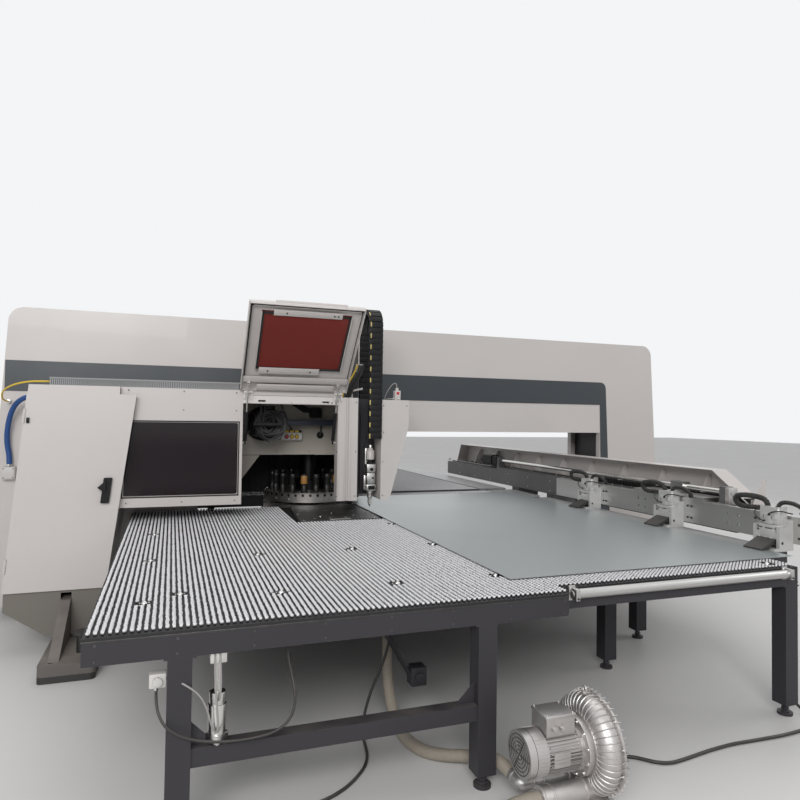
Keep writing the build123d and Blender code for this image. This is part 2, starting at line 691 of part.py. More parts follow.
def service_fittings():
    """Fixed pipes, brackets, boxes and the cable duct of the enclosure."""
    wall = FRAME_FRONT - SKIN
    roof = ENCLOSURE_TOP - SKIN
    pipe = bar_x(-983, -440, wall - 120, 1512, 19)
    clip = block((-580, -550), (wall - 145, wall), (1480, 1545))
    arm = prism_y([(-960, roof), (-880, roof), (-700, 1632), (-700, 1598), (-740, 1600)], wall - 60, wall - 30)
    lamp = block((-700, -606), (wall - 90, wall), (1556, 1636))
    duct = block((-2640, BOX_RIGHT), (-720, -640), (STRIP_TOP, STRIP_TOP + 65))
    hose_box = block((-3026, -2940), (FRAME_FRONT - 60, FRAME_FRONT), (1060, 1158))
    taper_top = ENCLOSURE_TOP - 10
    valve = block((TAPER_RIGHT - 58, TAPER_RIGHT), (-760, -700), (taper_top, taper_top + 90))
    valve += block((TAPER_RIGHT - 45, TAPER_RIGHT - 12), (-745, -715), (taper_top + 90, taper_top + 107))
    leg_x, leg_y = FRONT_LEGS[0][0] - LEG / 2, FRONT_LEGS[0][1]
    leg_valve = block((leg_x - 62, leg_x), (leg_y - 25, leg_y + 25), (585, 640))
    gland = bar_y(-3000, FRAME_FRONT - 40, FRAME_FRONT, 1650, 14)
    hose_socket = bar_z(*HOSE_SOCKET, BED_BOTTOM - FASCIA_HEIGHT, BED_BOTTOM, HOSE_RADIUS + 6)
    return group(pipe - clip, clip, arm + lamp, duct, hose_box, valve, leg_valve, gland, hose_socket,
                 *lift_cylinder())


def push_button_box():
    """Box on the back plate with a bore for each of its three buttons."""
    wall = FRAME_FRONT - SKIN
    front = wall - BUTTON_BOX_DEPTH
    box = block((BUTTON_SPOTS[0] - 42, BUTTON_SPOTS[-1] + 42), (front, wall), (BUTTON_Z - 32, BUTTON_Z + 56))
    box = fillet(box.edges().filter_by(Axis.Y), 8)
    for x in BUTTON_SPOTS:
        box -= bar_y(x, front, front + 40, BUTTON_Z, BUTTON_STEM + SHAFT_CLEARANCE)
    return box


def push_button(x):
    """Round push button with a stem that slides in the box."""
    front = FRAME_FRONT - SKIN - BUTTON_BOX_DEPTH
    cap = bar_y(x, front - 16, front - 8, BUTTON_Z, BUTTON_RADIUS)
    return cap + bar_y(x, front - 8, front + 24, BUTTON_Z, BUTTON_STEM)


def turret_motor():
    """Servo motor and gear that index the turret, on the back plate."""
    y = FRAME_FRONT - SKIN
    shape = bar_y(-1105, y - 60, y, 1500, 145)
    shape += bar_y(-1105, y - 150, y - 60, 1500, 118)
    shape += block((-1205, -1005), (y - 360, y - 150), (1400, 1600))
    shape += block((-1160, -1050), (y - 330, y - 250), (1600, 1650))
    return shape


def ribbed_column():
    """Folded white post that hangs from the bay's roof right of the bay."""
    x, right = BAY_RIGHT, COLUMN_RIGHT
    y, rear = ENCLOSURE_FRONT, ENCLOSURE_FRONT + POST_DEPTH
    groove = (x + 66, x + 90)
    points = [(x, y), (groove[0], y), (groove[0] + 6, y + 14), (groove[1] - 6, y + 14), (groove[1], y), (right, y),
              (right, rear), (x, rear)]
    post = prism_z(points, ENCLOSURE_BOTTOM, ENCLOSURE_TOP)
    post -= block((x + SKIN, right - SKIN), (y + 20, rear), (ENCLOSURE_BOTTOM, ENCLOSURE_TOP - SKIN))
    return post + spring_foot_pin(x, -1)


def laser_recess():
    """Dark channel in which the laser head rides."""
    x = (COLUMN_RIGHT, RECESS_RIGHT)
    y = (ENCLOSURE_FRONT + RECESS_DEPTH, FRAME_FRONT - SKIN)
    back = block(x, (y[0], y[0] + SKIN), (ENCLOSURE_BOTTOM + 30, ENCLOSURE_TOP))
    shelf = block(x, (y[0] + SKIN, y[1]), (ENCLOSURE_TOP - SKIN, ENCLOSURE_TOP))
    guide = block((x[0] + 70, x[1] - 50), (y[0] - 24, y[0]), (ENCLOSURE_BOTTOM + 60, ENCLOSURE_TOP - 120))
    sail = prism_x([(y[0] - 10, ENCLOSURE_TOP), (y[0] + SAIL_DEPTH, ENCLOSURE_TOP), (y[0] + 60, SAIL_TOP),
                    (y[0] - 10, SAIL_TOP)], x[0] + 40, x[0] + 46)
    return back + shelf + guide + sail


def laser_head():
    """Laser cutting head: slide, collimator, body, nozzle."""
    x = (COLUMN_RIGHT + RECESS_RIGHT) / 2 + 40
    y = ENCLOSURE_FRONT + 105
    back = ENCLOSURE_FRONT + RECESS_DEPTH - 24 - RUNNING_GAP
    slide = block((x - 45, x + 45), (back - 22, back), (1080, 1250))
    body = block((x - 38, x + 38), (y - 40, back - 22), (1040, 1200))
    collimator = bar_z(x, y, 1200, 1330, 27)
    crown = bar_z(x, y, 1330, 1352, 34)
    lens = bar_z(x, y, 985, 1040, 31)
    nozzle = Pos(x, y, 922) * Cone(9, 20, 126)
    side = block((x - 78, x - 38), (y - 25, y + 25), (1060, 1125))
    chain_back = ENCLOSURE_FRONT - CHAIN_REACH + CHAIN_THICKNESS + RUNNING_GAP
    shelf = block((x - 32, x + 32), (chain_back, y + 34), (1352, 1364))
    shelf += block((x - 32, x + 32), (chain_back, chain_back + 8), (1352, 1440))
    return slide + body + collimator + crown + lens + nozzle + side + shelf


def tapered_cover():
    """White guard right of the laser, cut away towards the sheet."""
    points = [(RECESS_RIGHT, ENCLOSURE_BOTTOM), (TAPER_FOOT - 28, ENCLOSURE_BOTTOM - 4), (TAPER_FOOT, ENCLOSURE_BOTTOM + 24),
              (TAPER_RIGHT, TAPER_KNEE), (TAPER_RIGHT, ENCLOSURE_TOP - 10), (RECESS_RIGHT, ENCLOSURE_TOP - 10)]
    radii = [12, 20, 20, 40, 0, 0]
    y = (ENCLOSURE_FRONT, FRAME_FRONT - SKIN)
    shell = prism_y(points, y[0], y[1], radii)
    face = outline([(x, y[0] + SKIN, z) for x, z in points], radii)
    return shell - extrude(offset(face, amount=-SKIN), amount=y[1] - y[0], dir=(0, 1, 0))


def laser_energy_chain():
    """Cable chain that rises over the laser head and turns back to the recess."""
    x = (RECESS_RIGHT - 3 - CHAIN_WIDTH, RECESS_RIGHT - 3)
    front, back = ENCLOSURE_FRONT - CHAIN_REACH, ENCLOSURE_FRONT + CHAIN_BACK
    thickness = CHAIN_THICKNESS
    top = CHAIN_TOP
    radius = (back - front) / 2
    spring = top - radius
    middle = (front + back) / 2
    band = Pos(0, middle, spring) * Rot(0, 90, 0) * Cylinder(radius, x[1] - x[0])
    band -= Pos(0, middle, spring) * Rot(0, 90, 0) * Cylinder(radius - thickness, x[1] - x[0])
    band = Pos((x[0] + x[1]) / 2, 0, 0) * band
    band -= block(x, (front, back), (spring - radius, spring))
    band += block(x, (front, front + thickness), (CHAIN_FOOT, spring))
    band += block(x, (back - thickness, back), (ENCLOSURE_TOP, spring))
    return band


# Hatch and its gas springs

def hatch_place(shape):
    """Moves a shape drawn hanging from the hinge line to the open hatch."""
    return Pos(0, HATCH_HINGE_Y, HATCH_HINGE_Z) * Rot(-HATCH_OPEN, 0, 0) * shape


def hatch_point(y, z):
    """Where a point of the closed hatch, measured from the hinge, lies when open."""
    turn = math.radians(-HATCH_OPEN)
    return (HATCH_HINGE_Y + y * math.cos(turn) - z * math.sin(turn),
            HATCH_HINGE_Z + y * math.sin(turn) + z * math.cos(turn))


def hatch_frame():
    """White folded frame of the hatch with its window, hinge knuckles and pull bar."""
    half = HATCH_WIDTH / 2
    x = (HATCH_X - half, HATCH_X + half)
    y = (-HATCH_THICKNESS, 0)
    z = (-HATCH_LENGTH, -14)
    shape = block(x, y, z)
    shape -= block((x[0] + SKIN, x[1] - SKIN), (y[0] + SKIN, y[1]), (z[0] + SKIN, z[1] - SKIN))
    pane = (x[0] + HATCH_PANE_SIDE, x[1] - HATCH_PANE_SIDE)
    shape += block((pane[0] - 18, pane[1] + 18), (y[0] + SKIN, y[0] + PANE_SEAT),
                   (-HATCH_PANE_HIGH - 18, -HATCH_PANE_LOW + 18))
    opening = [(pane[0], -HATCH_PANE_HIGH), (pane[1], -HATCH_PANE_HIGH), (pane[1], -HATCH_PANE_LOW),
               (pane[0], -HATCH_PANE_LOW)]
    shape -= prism_y(opening, y[0], y[1], [10, 10, 10, 10])
    bore = HINGE_PIN + SHAFT_CLEARANCE
    for centre in hatch_knuckles():
        span = (centre - HINGE_HALF, centre + HINGE_HALF)
        shape += block(span, (-7, 0), (-40, 0)) + bar_x(*span, 0, 0, HINGE_RADIUS)
        shape -= bar_x(*span, 0, 0, bore)
    grip = -HATCH_LENGTH + 40
    shape += bar_x(x[0] + 120, x[1] - 120, y[0] - 30, grip, 8)
    for post in (x[0] + 140, x[1] - 140):
        shape += bar_y(post, y[0] - 30, y[0] + SKIN, grip, 8)
    for spring, side in zip(spring_sides(), (1, -1)):
        eye = spring + side * (SPRING_EYE_WIDTH / 2 + RUNNING_GAP)
        lug = sorted((eye, eye + side * SPRING_LUG))
        reach = -SPRING_PIN_REACH
        shape += block(lug, (y[0], SPRING_PIN_DROP + SPRING_EYE), (reach - SPRING_EYE, reach + SPRING_EYE))
        pin = sorted((eye, eye - side * (SPRING_EYE_WIDTH + 2)))
        shape += bar_x(*pin, SPRING_PIN_DROP, reach, SPRING_PIN)
    return hatch_place(shape)


def hatch_pane():
    """Red tinted pane on the inside of the hatch window."""
    half = HATCH_WIDTH / 2
    x = (HATCH_X - half, HATCH_X + half)
    low = -HATCH_THICKNESS + PANE_SEAT + RUNNING_GAP
    pane = block((x[0] + HATCH_PANE_SIDE - 14, x[1] - HATCH_PANE_SIDE + 14), (low, low + 4),
                 (-HATCH_PANE_HIGH - 14, -HATCH_PANE_LOW + 14))
    return hatch_place(pane)


def spring_line():
    """Foot and head of the gas springs, in Y and Z, with the hatch open."""
    head = hatch_point(SPRING_PIN_DROP, -SPRING_PIN_REACH)
    return (SPRING_FOOT_Y, SPRING_FOOT_Z), head


def spring_parts():
    """Barrel and rod of one gas spring along its line, at x = 0."""
    foot, head = spring_line()
    reach = math.dist(foot, head)
    lean = math.degrees(math.atan2(head[0] - foot[0], head[1] - foot[1]))
    place = Pos(0, foot[0], foot[1]) * Rot(-lean, 0, 0)
    half = SPRING_EYE_WIDTH / 2
    bore = bar_x(-half, half, 0, 0, SPRING_PIN + SHAFT_CLEARANCE)
    eye = bar_x(-half, half, 0, 0, SPRING_EYE)
    neck = SPRING_EYE + SPRING_NECK
    barrel = eye + bar_z(0, 0, 0, neck, half) + bar_z(0, 0, neck, SPRING_BARREL_LENGTH, SPRING_BARREL_RADIUS)
    barrel -= bar_z(0, 0, SPRING_BORE_START, SPRING_BARREL_LENGTH, SPRING_ROD_RADIUS + SHAFT_CLEARANCE)
    top = Pos(0, 0, reach)
    rod = top * eye + bar_z(0, 0, SPRING_ROD_START, reach - SPRING_EYE + 2, SPRING_ROD_RADIUS) - top * bore
    return place * barrel, place * rod


def spring_sides():
    """X of the two gas springs, just inside the bay's walls."""
    return (BOX_RIGHT + SPRING_INSET, BAY_RIGHT - SPRING_INSET)


def gas_spring_barrels():
    barrel, _ = spring_parts()
    return group(*[Pos(x, 0, 0) * barrel for x in spring_sides()])


def gas_spring_rods():
    _, rod = spring_parts()
    return group(*[Pos(x, 0, 0) * rod for x in spring_sides()])


# Turret

def stations():
    """Centres of the tool stations, the first one under the ram."""
    for index in range(STATION_COUNT):
        angle = 2 * math.pi * index / STATION_COUNT
        yield (TURRET_X + STATION_CIRCLE * math.cos(angle), FRAME_CENTRE_Y + STATION_CIRCLE * math.sin(angle))


def upper_turret():
    """Upper disc with rim holes, hub and shaft."""
    disc = bar_z(TURRET_X, FRAME_CENTRE_Y, TURRET_BOTTOM, TURRET_TOP, TURRET_RADIUS)
    disc = chamfer(disc.edges().filter_by(GeomType.CIRCLE), 4)
    for index in range(RIM_HOLE_COUNT):
        angle = 2 * math.pi * (index + 0.5) / RIM_HOLE_COUNT
        radius = RIM_HOLE_RADIUS if index % 2 else RIM_HOLE_RADIUS * 0.55
        hole = Rot(0, 90, 0) * Cylinder(radius, 24)
        spot = Pos(TURRET_X, FRAME_CENTRE_Y, (TURRET_BOTTOM + TURRET_TOP) / 2 - 4)
        disc -= spot * Rot(0, 0, math.degrees(angle)) * Pos(TURRET_RADIUS - 4, 0, 0) * hole
    disc += bar_z(TURRET_X, FRAME_CENTRE_Y, TURRET_TOP, TURRET_TOP + 90, TURRET_HUB)
    top = ARM_UNDERSIDE + WELD_CLEARANCE - RUNNING_GAP
    return disc + bar_z(TURRET_X, FRAME_CENTRE_Y, TURRET_TOP + 90, top, TURRET_SHAFT)


def lower_turret():
    """Lower disc that carries the dies, on its hub over the base beam."""
    disc = bar_z(TURRET_X, FRAME_CENTRE_Y, DIE_DISC_TOP - DIE_DISC_HEIGHT, DIE_DISC_TOP, TURRET_RADIUS)
    for x, y in stations():
        disc -= bar_z(x, y, DIE_DISC_TOP - 20, DIE_DISC_TOP, HOLDER_RADIUS * 0.6)
    return disc + bar_z(TURRET_X, FRAME_CENTRE_Y, BASE_TOP + RUNNING_GAP, DIE_DISC_TOP - DIE_DISC_HEIGHT, TURRET_HUB)


def punch_holders():
    """Spring-loaded punch holders standing on the upper disc."""
    holders = []
    for x, y in stations():
        profile = [(0, TURRET_TOP), (HOLDER_RADIUS * 0.8, TURRET_TOP), (HOLDER_RADIUS * 0.8, TURRET_TOP + 40),
                   (HOLDER_RADIUS, TURRET_TOP + 48), (HOLDER_RADIUS, HOLDER_TOP - 8), (HOLDER_RADIUS * 0.7, HOLDER_TOP),
                   (0, HOLDER_TOP)]
        face = make_face(Polyline(*[(r, 0, z) for r, z in profile], close=True))
        holders.append(Pos(x, y, 0) * revolve(face, Axis.Z))
    return group(*holders)


def punch_ram():
    """Ram that strikes the holder below it."""
    low = ARM_UNDERSIDE + WELD_CLEARANCE
    return bar_z(RAM_X, FRAME_CENTRE_Y, RAM_BOTTOM, low - 60, RAM_RADIUS)


# Table

def bed_outline_front():
    return [(BED_LEFT, TABLE_FRONT), (FASCIA_END, TABLE_FRONT), (FASCIA_END, RIGHT_FRONT),
            (BED_RIGHT, RIGHT_FRONT), (BED_RIGHT, PLATE_FRONT), (PLATE_RIGHT, PLATE_FRONT),
            (PLATE_RIGHT, BED_SLOT_FRONT), (BED_LEFT, BED_SLOT_FRONT)]


def front_bed():
    return prism_z(bed_outline_front(), BED_BOTTOM, BED_TOP)


def rear_bed():
    """Bed inside the throat and bed behind the frame."""
    throat = block((THROAT_BED_LEFT, PLATE_RIGHT), throat_span(), (BED_BOTTOM, BED_TOP))
    rear = block((BED_LEFT, PLATE_RIGHT), (BED_SLOT_BACK, TABLE_BACK), (BED_BOTTOM, BED_TOP))
    return group(throat, rear)


def throat_span():
    """Y range of the bed between the two saddle slots."""
    return (BED_SLOT_FRONT + SLOT_WIDTH, BED_SLOT_BACK - SLOT_WIDTH)


DIE_PLATE = ((-953.0, -1075.0), (-342.0, -1085.0), (-262.0, BED_SLOT_FRONT + 4), (-885.0, BED_SLOT_FRONT + 4))


def brush_spans(x, strip):
    """The stretches of one front brush strip, clear of the die plate and of the seam in the bed."""
    margin = BRUSH_MARGIN
    over_plate = DIE_PLATE[0][0] - margin - strip < x < DIE_PLATE[2][0] + margin
    front = TABLE_FRONT if x < FASCIA_END else RIGHT_FRONT
    back = DIE_PLATE[1][1] if over_plate else BED_SLOT_FRONT
    spans = [(front + margin, back - margin)]
    if back > BED_SEAM_Y:
        spans = [(front + margin, BED_SEAM_Y - BED_SEAM / 2), (BED_SEAM_Y + BED_SEAM / 2, back - margin)]
    if x > THROAT_BED_LEFT + margin:
        throat = throat_span()
        spans.append((throat[0] + margin, throat[1] - margin))
    return spans


def bed_brushes():
    """All brush strips of both beds, on one pitch."""
    margin = BRUSH_MARGIN
    strip = BRUSH_WIDTH
    rows = []
    for index in range(int((BED_RIGHT - BED_LEFT - 2 * margin - strip) // BRUSH_PITCH) + 1):
        x = BED_LEFT + margin + index * BRUSH_PITCH
        spans = brush_spans(x, strip) + [(BED_SLOT_BACK + margin, TABLE_BACK - margin)]
        rows.extend([block((x, x + strip), span, (BED_TOP, BRUSH_TOP)) for span in spans])
    return group(*rows)


def die_plate():
    """Black plate in front of the turret, level with the brush tips."""
    return prism_z(DIE_PLATE, BED_TOP, BRUSH_TOP, [20, 20, 0, 0])


def table_leg(x, y):
    """Square leg on a levelling foot."""
    top = BED_BOTTOM - FASCIA_HEIGHT
    half = LEG / 2
    tube = block((x - half, x + half), (y - half, y + half), (LEG_FOOT, top))
    tube -= block((x - half + LEG_WALL, x + half - LEG_WALL), (y - half + LEG_WALL, y + half - LEG_WALL),
                  (LEG_FOOT + LEG_WALL, top))
    tube += bar_z(x, y, 14, LEG_FOOT, 12)
    return tube + bar_z(x, y, 0, 14, LEG_FOOT_RADIUS)


FRONT_LEGS = ((-1790.0, -3197.0), (-556.0, -3197.0), (1310.0, -3107.0), (795.0, -2275.0), (1376.0, -1876.0),
              (-1790.0, -1100.0), (-556.0, -1100.0), (795.0, -1100.0))
REAR_LEGS = ((-2069.0, 1100.0), (-556.0, 1100.0), (1310.0, 1100.0),
             (-2069.0, TABLE_BACK - LEG / 2), (-556.0, TABLE_BACK - LEG / 2), (1310.0, TABLE_BACK - LEG / 2))


def table_frame():
    """Welded supports: fascias, side rails, joists, legs and the low cross-beam."""
    z = (BED_BOTTOM - FASCIA_HEIGHT, BED_BOTTOM)
    tube = FRAME_TUBE
    back = BED_SLOT_FRONT
    members = [
        block((BED_LEFT, FASCIA_END), (TABLE_FRONT, TABLE_FRONT + LEG), z),
        block((FASCIA_END, BED_RIGHT), (RIGHT_FRONT, RIGHT_FRONT + LEG), z),
        block((BED_LEFT, BED_LEFT + tube), (TABLE_FRONT + LEG, back), z),
        block((BED_RIGHT - tube, BED_RIGHT), (RIGHT_FRONT + LEG, back), z),
        block((BED_RIGHT, PLATE_RIGHT), (PLATE_FRONT, PLATE_FRONT + tube), z),
        block((PLATE_RIGHT - tube, PLATE_RIGHT), (PLATE_FRONT + tube, back), z),
    ]
    for y in (-2275.0, -1876.0, -1100.0, back - tube / 2):
        members.append(block((BED_LEFT + tube, BED_RIGHT - tube), (y - tube / 2, y + tube / 2), z))
        members.append(block((BED_RIGHT, PLATE_RIGHT - tube), (y - tube / 2, y + tube / 2), z))
    for x in (THROAT_BED_LEFT, PLATE_RIGHT - tube):
        members.append(block((x, x + tube), (WELD_FRONT, WELD_BACK), (BASE_TOP, BED_BOTTOM)))
    for x in TIE_SPOTS:
        for slot, weld in ((BED_SLOT_FRONT, WELD_FRONT), (BED_SLOT_BACK, WELD_BACK)):
            outer = slot + math.copysign(tube, slot - weld)
            foot = block((x, x + tube), sorted((weld, outer)), (BASE_TOP - tube, BASE_TOP))
            members.append(foot + block((x, x + tube), sorted((slot, outer)), (BASE_TOP, z[0])))
    rear = (BED_SLOT_BACK, TABLE_BACK)
    members.append(block((BED_LEFT, PLATE_RIGHT), (rear[0], rear[0] + tube), z))
    members.append(block((BED_LEFT, PLATE_RIGHT), (rear[1] - LEG, rear[1]), z))
    for x in (BED_LEFT, BED_RIGHT - tube, PLATE_RIGHT - tube):
        members.append(block((x, x + tube), (rear[0] + tube, rear[1] - LEG), z))
    members.append(block((BED_LEFT + tube, BED_RIGHT - tube), (1100 - tube / 2, 1100 + tube / 2), z))
    low = (LOW_BEAM_Z - LOW_BEAM / 2, LOW_BEAM_Z + LOW_BEAM / 2)
    half = LEG / 2
    members.append(block((FRONT_LEGS[0][0] + half, FRONT_LEGS[1][0] - half),
                         (FRONT_LEGS[0][1] - LOW_BEAM / 2, FRONT_LEGS[0][1] + LOW_BEAM / 2), low))
    legs = [table_leg(x, y) for x, y in FRONT_LEGS + REAR_LEGS]
    return group(*members, *legs)


def roller_y():
    """Y of the roller's axis, just ahead of the right fascia."""
    return RIGHT_FRONT - ROLLER_RADIUS - 4


def front_roller():
    shape = bar_x(ROLLER_LEFT, ROLLER_RIGHT, roller_y(), ROLLER_Z, ROLLER_RADIUS)
    return shape + bar_x(ROLLER_LEFT - 20, ROLLER_RIGHT + 20, roller_y(), ROLLER_Z, ROLLER_PIN)


def plates_and_brackets():
    """Pale plates beside the brushes, and the two brackets of the front roller."""
    z = (BED_TOP, BRUSH_TOP)
    x = (BED_RIGHT, PLATE_RIGHT)
    throat = throat_span()
    plates = [block(x, (PLATE_FRONT, BED_SLOT_FRONT), z), block(x, throat, z), block(x, (BED_SLOT_BACK, TABLE_BACK), z)]
    brackets = []
    for end, side in ((ROLLER_LEFT, -1), (ROLLER_RIGHT, 1)):
        span = sorted((end + side * RUNNING_GAP, end + side * 20))
        y = roller_y()
        cheek = prism_x([(RIGHT_FRONT, BED_BOTTOM - 34), (RIGHT_FRONT, BED_BOTTOM + 8), (y - 14, BED_BOTTOM + 8),
                         (y - ROLLER_RADIUS, ROLLER_Z + 6), (y - ROLLER_RADIUS, ROLLER_Z - 10), (y, BED_BOTTOM - 34)],
                        span[0], span[1])
        cheek -= bar_x(span[0], span[1], y, ROLLER_Z, ROLLER_PIN + SHAFT_CLEARANCE)
        brackets.append(cheek)
    return group(*plates, *brackets)


def lift_cylinder():
    """Air cylinder between the bed and the low cross-beam: barrel and rod with fork."""
    x, y = -1655.0, FRONT_LEGS[0][1]
    top = BED_BOTTOM - FASCIA_HEIGHT
    barrel = block((x - 32, x + 32), (y - 32, y + 32), (500, 530))
    barrel += bar_z(x, y, 530, 640, 27)
    barrel += block((x - 32, x + 32), (y - 32, y + 32), (640, top))
    fork_low = LOW_BEAM_Z + LOW_BEAM / 2
    rod = bar_z(x, y, 430, 500, 10) + block((x - 22, x + 22), (y - 16, y + 16), (fork_low + 14, 430))
    foot = block((x - 45, x + 45), (y - 30, y + 30), (fork_low, fork_low + 14))
    return [barrel, rod + foot]


# Beam across the frame

def beam_body():
    """Box beam with its saddle legs, rails and bearing blocks."""
    x = (BEAM_LEFT, BEAM_RIGHT)
    y = (BEAM_FRONT, BEAM_BACK)
    wall = BEAM_WALL
    body = block(x, y, (BEAM_BOTTOM, BEAM_TOP))
    body -= block((x[0] + wall, x[1] - wall), (y[0] + wall, y[1] - wall), (BEAM_BOTTOM + wall, BEAM_TOP - wall))
    rail_y = (BEAM_FRONT, SCREW_BACK - BLOCK_LENGTH)
    for rail_x in TOP_RAILS:
        body += block((rail_x, rail_x + TOP_RAIL_WIDTH), rail_y, (BEAM_TOP, BEAM_TOP + TOP_RAIL_HEIGHT))
    for low in (SCREW_FRONT, SCREW_BACK - BLOCK_LENGTH):
        body += block((SCREW_X - 38, SCREW_X + 38), (low, low + BLOCK_LENGTH), (BEAM_TOP, SCREW_Z + 36))
    body -= bar_y(SCREW_X, SCREW_FRONT, SCREW_BACK, SCREW_Z, SCREW_RADIUS - 4 + SHAFT_CLEARANCE)
    centre = (BEAM_LEFT + BEAM_RIGHT) / 2
    span = (centre - SADDLE_WIDTH / 2, centre + SADDLE_WIDTH / 2)
    gap = RUNNING_GAP
    neck = block(span, (BED_SLOT_FRONT + 12, throat_span()[0] - 10), (BED_BOTTOM - 80, BEAM_BOTTOM))
    shoe = block(span, (BED_SLOT_FRONT + 12, WELD_FRONT - 5), (RAIL_Z - 90, BED_BOTTOM - 80))
    shoe -= block(span, (WELD_FRONT - RAIL_DEPTH - gap, WELD_FRONT),
                  (RAIL_Z - RAIL_HEIGHT / 2 - gap, RAIL_Z + RAIL_HEIGHT / 2 + gap))
    leg = neck + shoe
    return body + leg + mirrored(leg)


def beam_hood():
    """White sheet hood behind the screw, with sloped ends."""
    z = (BEAM_TOP + TOP_RAIL_HEIGHT, HOOD_TOP)
    points = [(BEAM_FRONT, BEAM_TOP), (BEAM_FRONT + HOOD_SLOPE, HOOD_TOP), (BEAM_BACK - HOOD_SLOPE / 3, HOOD_TOP),
              (BEAM_BACK, BEAM_TOP)]
    x = (BEAM_RIGHT - HOOD_WIDTH, BEAM_RIGHT)
    hood = prism_x(points, x[0], x[1])
    face = outline([(x[0], y, z) for y, z in points])
    inner = extrude(offset(face, amount=-HOOD_SHEET), amount=HOOD_WIDTH - HOOD_SHEET, dir=(1, 0, 0))
    hood -= inner
    floor = block((x[0], x[1] - HOOD_SHEET), (BEAM_FRONT - 1, BEAM_BACK + 1), (BEAM_TOP - 1, BEAM_TOP + HOOD_SHEET))
    return hood - floor


def ball_screw():
    """Screw shaft with journals in its two bearing blocks."""
    inner = (SCREW_FRONT + BLOCK_LENGTH + RUNNING_GAP, SCREW_BACK - BLOCK_LENGTH - RUNNING_GAP)
    shaft = bar_y(SCREW_X, inner[0], inner[1], SCREW_Z, SCREW_RADIUS)
    return shaft + bar_y(SCREW_X, SCREW_FRONT, SCREW_BACK, SCREW_Z, SCREW_RADIUS - 4)


def screw_motor():
    """Servo motor, coupling housing and mounting foot behind the screw."""
    y = SCREW_BACK + RUNNING_GAP
    housing = block((SCREW_X - 45, SCREW_X + 45), (y, y + 110), (SCREW_Z - 45, SCREW_Z + 45))
    body = block((SCREW_X - 55, SCREW_X + 55), (y + 110, y + 330), (SCREW_Z - 55, SCREW_Z + 55))
    body = fillet(body.edges().filter_by(Axis.Y), 14)
    cap = bar_y(SCREW_X, y + 330, y + 400, SCREW_Z, 44)
    foot = block((SCREW_X - 38, SCREW_X + 38), (y, y + 110), (BEAM_TOP, SCREW_Z - 45))
    return housing + body + cap + foot


def clamp_carriage():
    """Long bar with its top plate, rail shoes and nut housing."""
    gap = RUNNING_GAP
    bar = block((BAR_LEFT, BAR_RIGHT), (BAR_FRONT, BAR_BACK), (BAR_LOW, BAR_HIGH))
    top_z = (CARRIAGE_Z, CARRIAGE_Z + CARRIAGE_PLATE)
    right = TOP_RAILS[1] + TOP_RAIL_WIDTH + 4
    plate = block((BAR_LEFT, right), (CARRIAGE_FRONT, CARRIAGE_BACK), top_z)
    bar += block((BAR_LEFT, BAR_RIGHT), (CARRIAGE_FRONT, CARRIAGE_BACK), (BAR_HIGH, CARRIAGE_Z))
    shape = bar + plate
    for rail_x in TOP_RAILS:
        for low in (CARRIAGE_FRONT, CARRIAGE_BACK - 120):
            shoe = block((rail_x - 12, rail_x + TOP_RAIL_WIDTH + 4), (low, low + 120), (BEAM_TOP + 4, CARRIAGE_Z))
            shoe -= block((rail_x - gap, rail_x + TOP_RAIL_WIDTH + gap), (low, low + 120),
                          (BEAM_TOP, BEAM_TOP + TOP_RAIL_HEIGHT + gap))
            shape += shoe
    nut_y = (CARRIAGE_FRONT + CARRIAGE_BACK) / 2
    shape += block((SCREW_X - 36, SCREW_X + 36), (nut_y - 60, nut_y + 60), (CARRIAGE_Z + CARRIAGE_PLATE, SCREW_Z + 32))
    shape -= bar_y(SCREW_X, nut_y - 60, nut_y + 60, SCREW_Z, SCREW_RADIUS + SHAFT_CLEARANCE)
    for spot in CLAMP_SPOTS[:2]:
        for dy in (300, 380):
            for z in (BAR_LOW + 50, BAR_HIGH - 50):
                shape -= bar_x(BAR_LEFT, BAR_LEFT + 14, spot + dy, z, 9)
    return shape


def clamp(y):
    """One clamp: lower jaw, two cheeks, back block and cylinder."""
    half = CLAMP_WIDTH / 2
    upper = SHEET_BOTTOM - 0.4
    jaw = prism_z([(JAW_TIP, y - half * 0.7), (JAW_TIP + 40, y - half), (BAR_LEFT, y - half), (BAR_LEFT, y + half),
                   (JAW_TIP + 40, y + half), (JAW_TIP, y + half * 0.7)], LOWER_JAW_BOTTOM, upper)
    jaw += block((SHEET_RIGHT + 12, BAR_LEFT), (y - half, y + half), (upper, upper + 12))
    body = jaw + block((CLAMP_LEFT + 60, BAR_LEFT), (y - half, y + half), (upper + 12, BAR_HIGH - 20))
    for side in (-1, 1):
        cheek = sorted((y + side * half, y + side * (half - 22)))
        body += block((CLAMP_LEFT, CLAMP_LEFT + 60), cheek, (upper + 12, BAR_HIGH - 60))
    body -= bar_y(JAW_PIVOT_X, y - half, y + half, JAW_PIVOT_Z, JAW_PIN + SHAFT_CLEARANCE)
    body += block((CLAMP_LEFT + 10, BAR_LEFT), (y - half * 0.55, y + half * 0.55), (BAR_HIGH - 20, BAR_HIGH + 52))
    return body


def clamps():
    return group(*[clamp(y) for y in CLAMP_SPOTS])


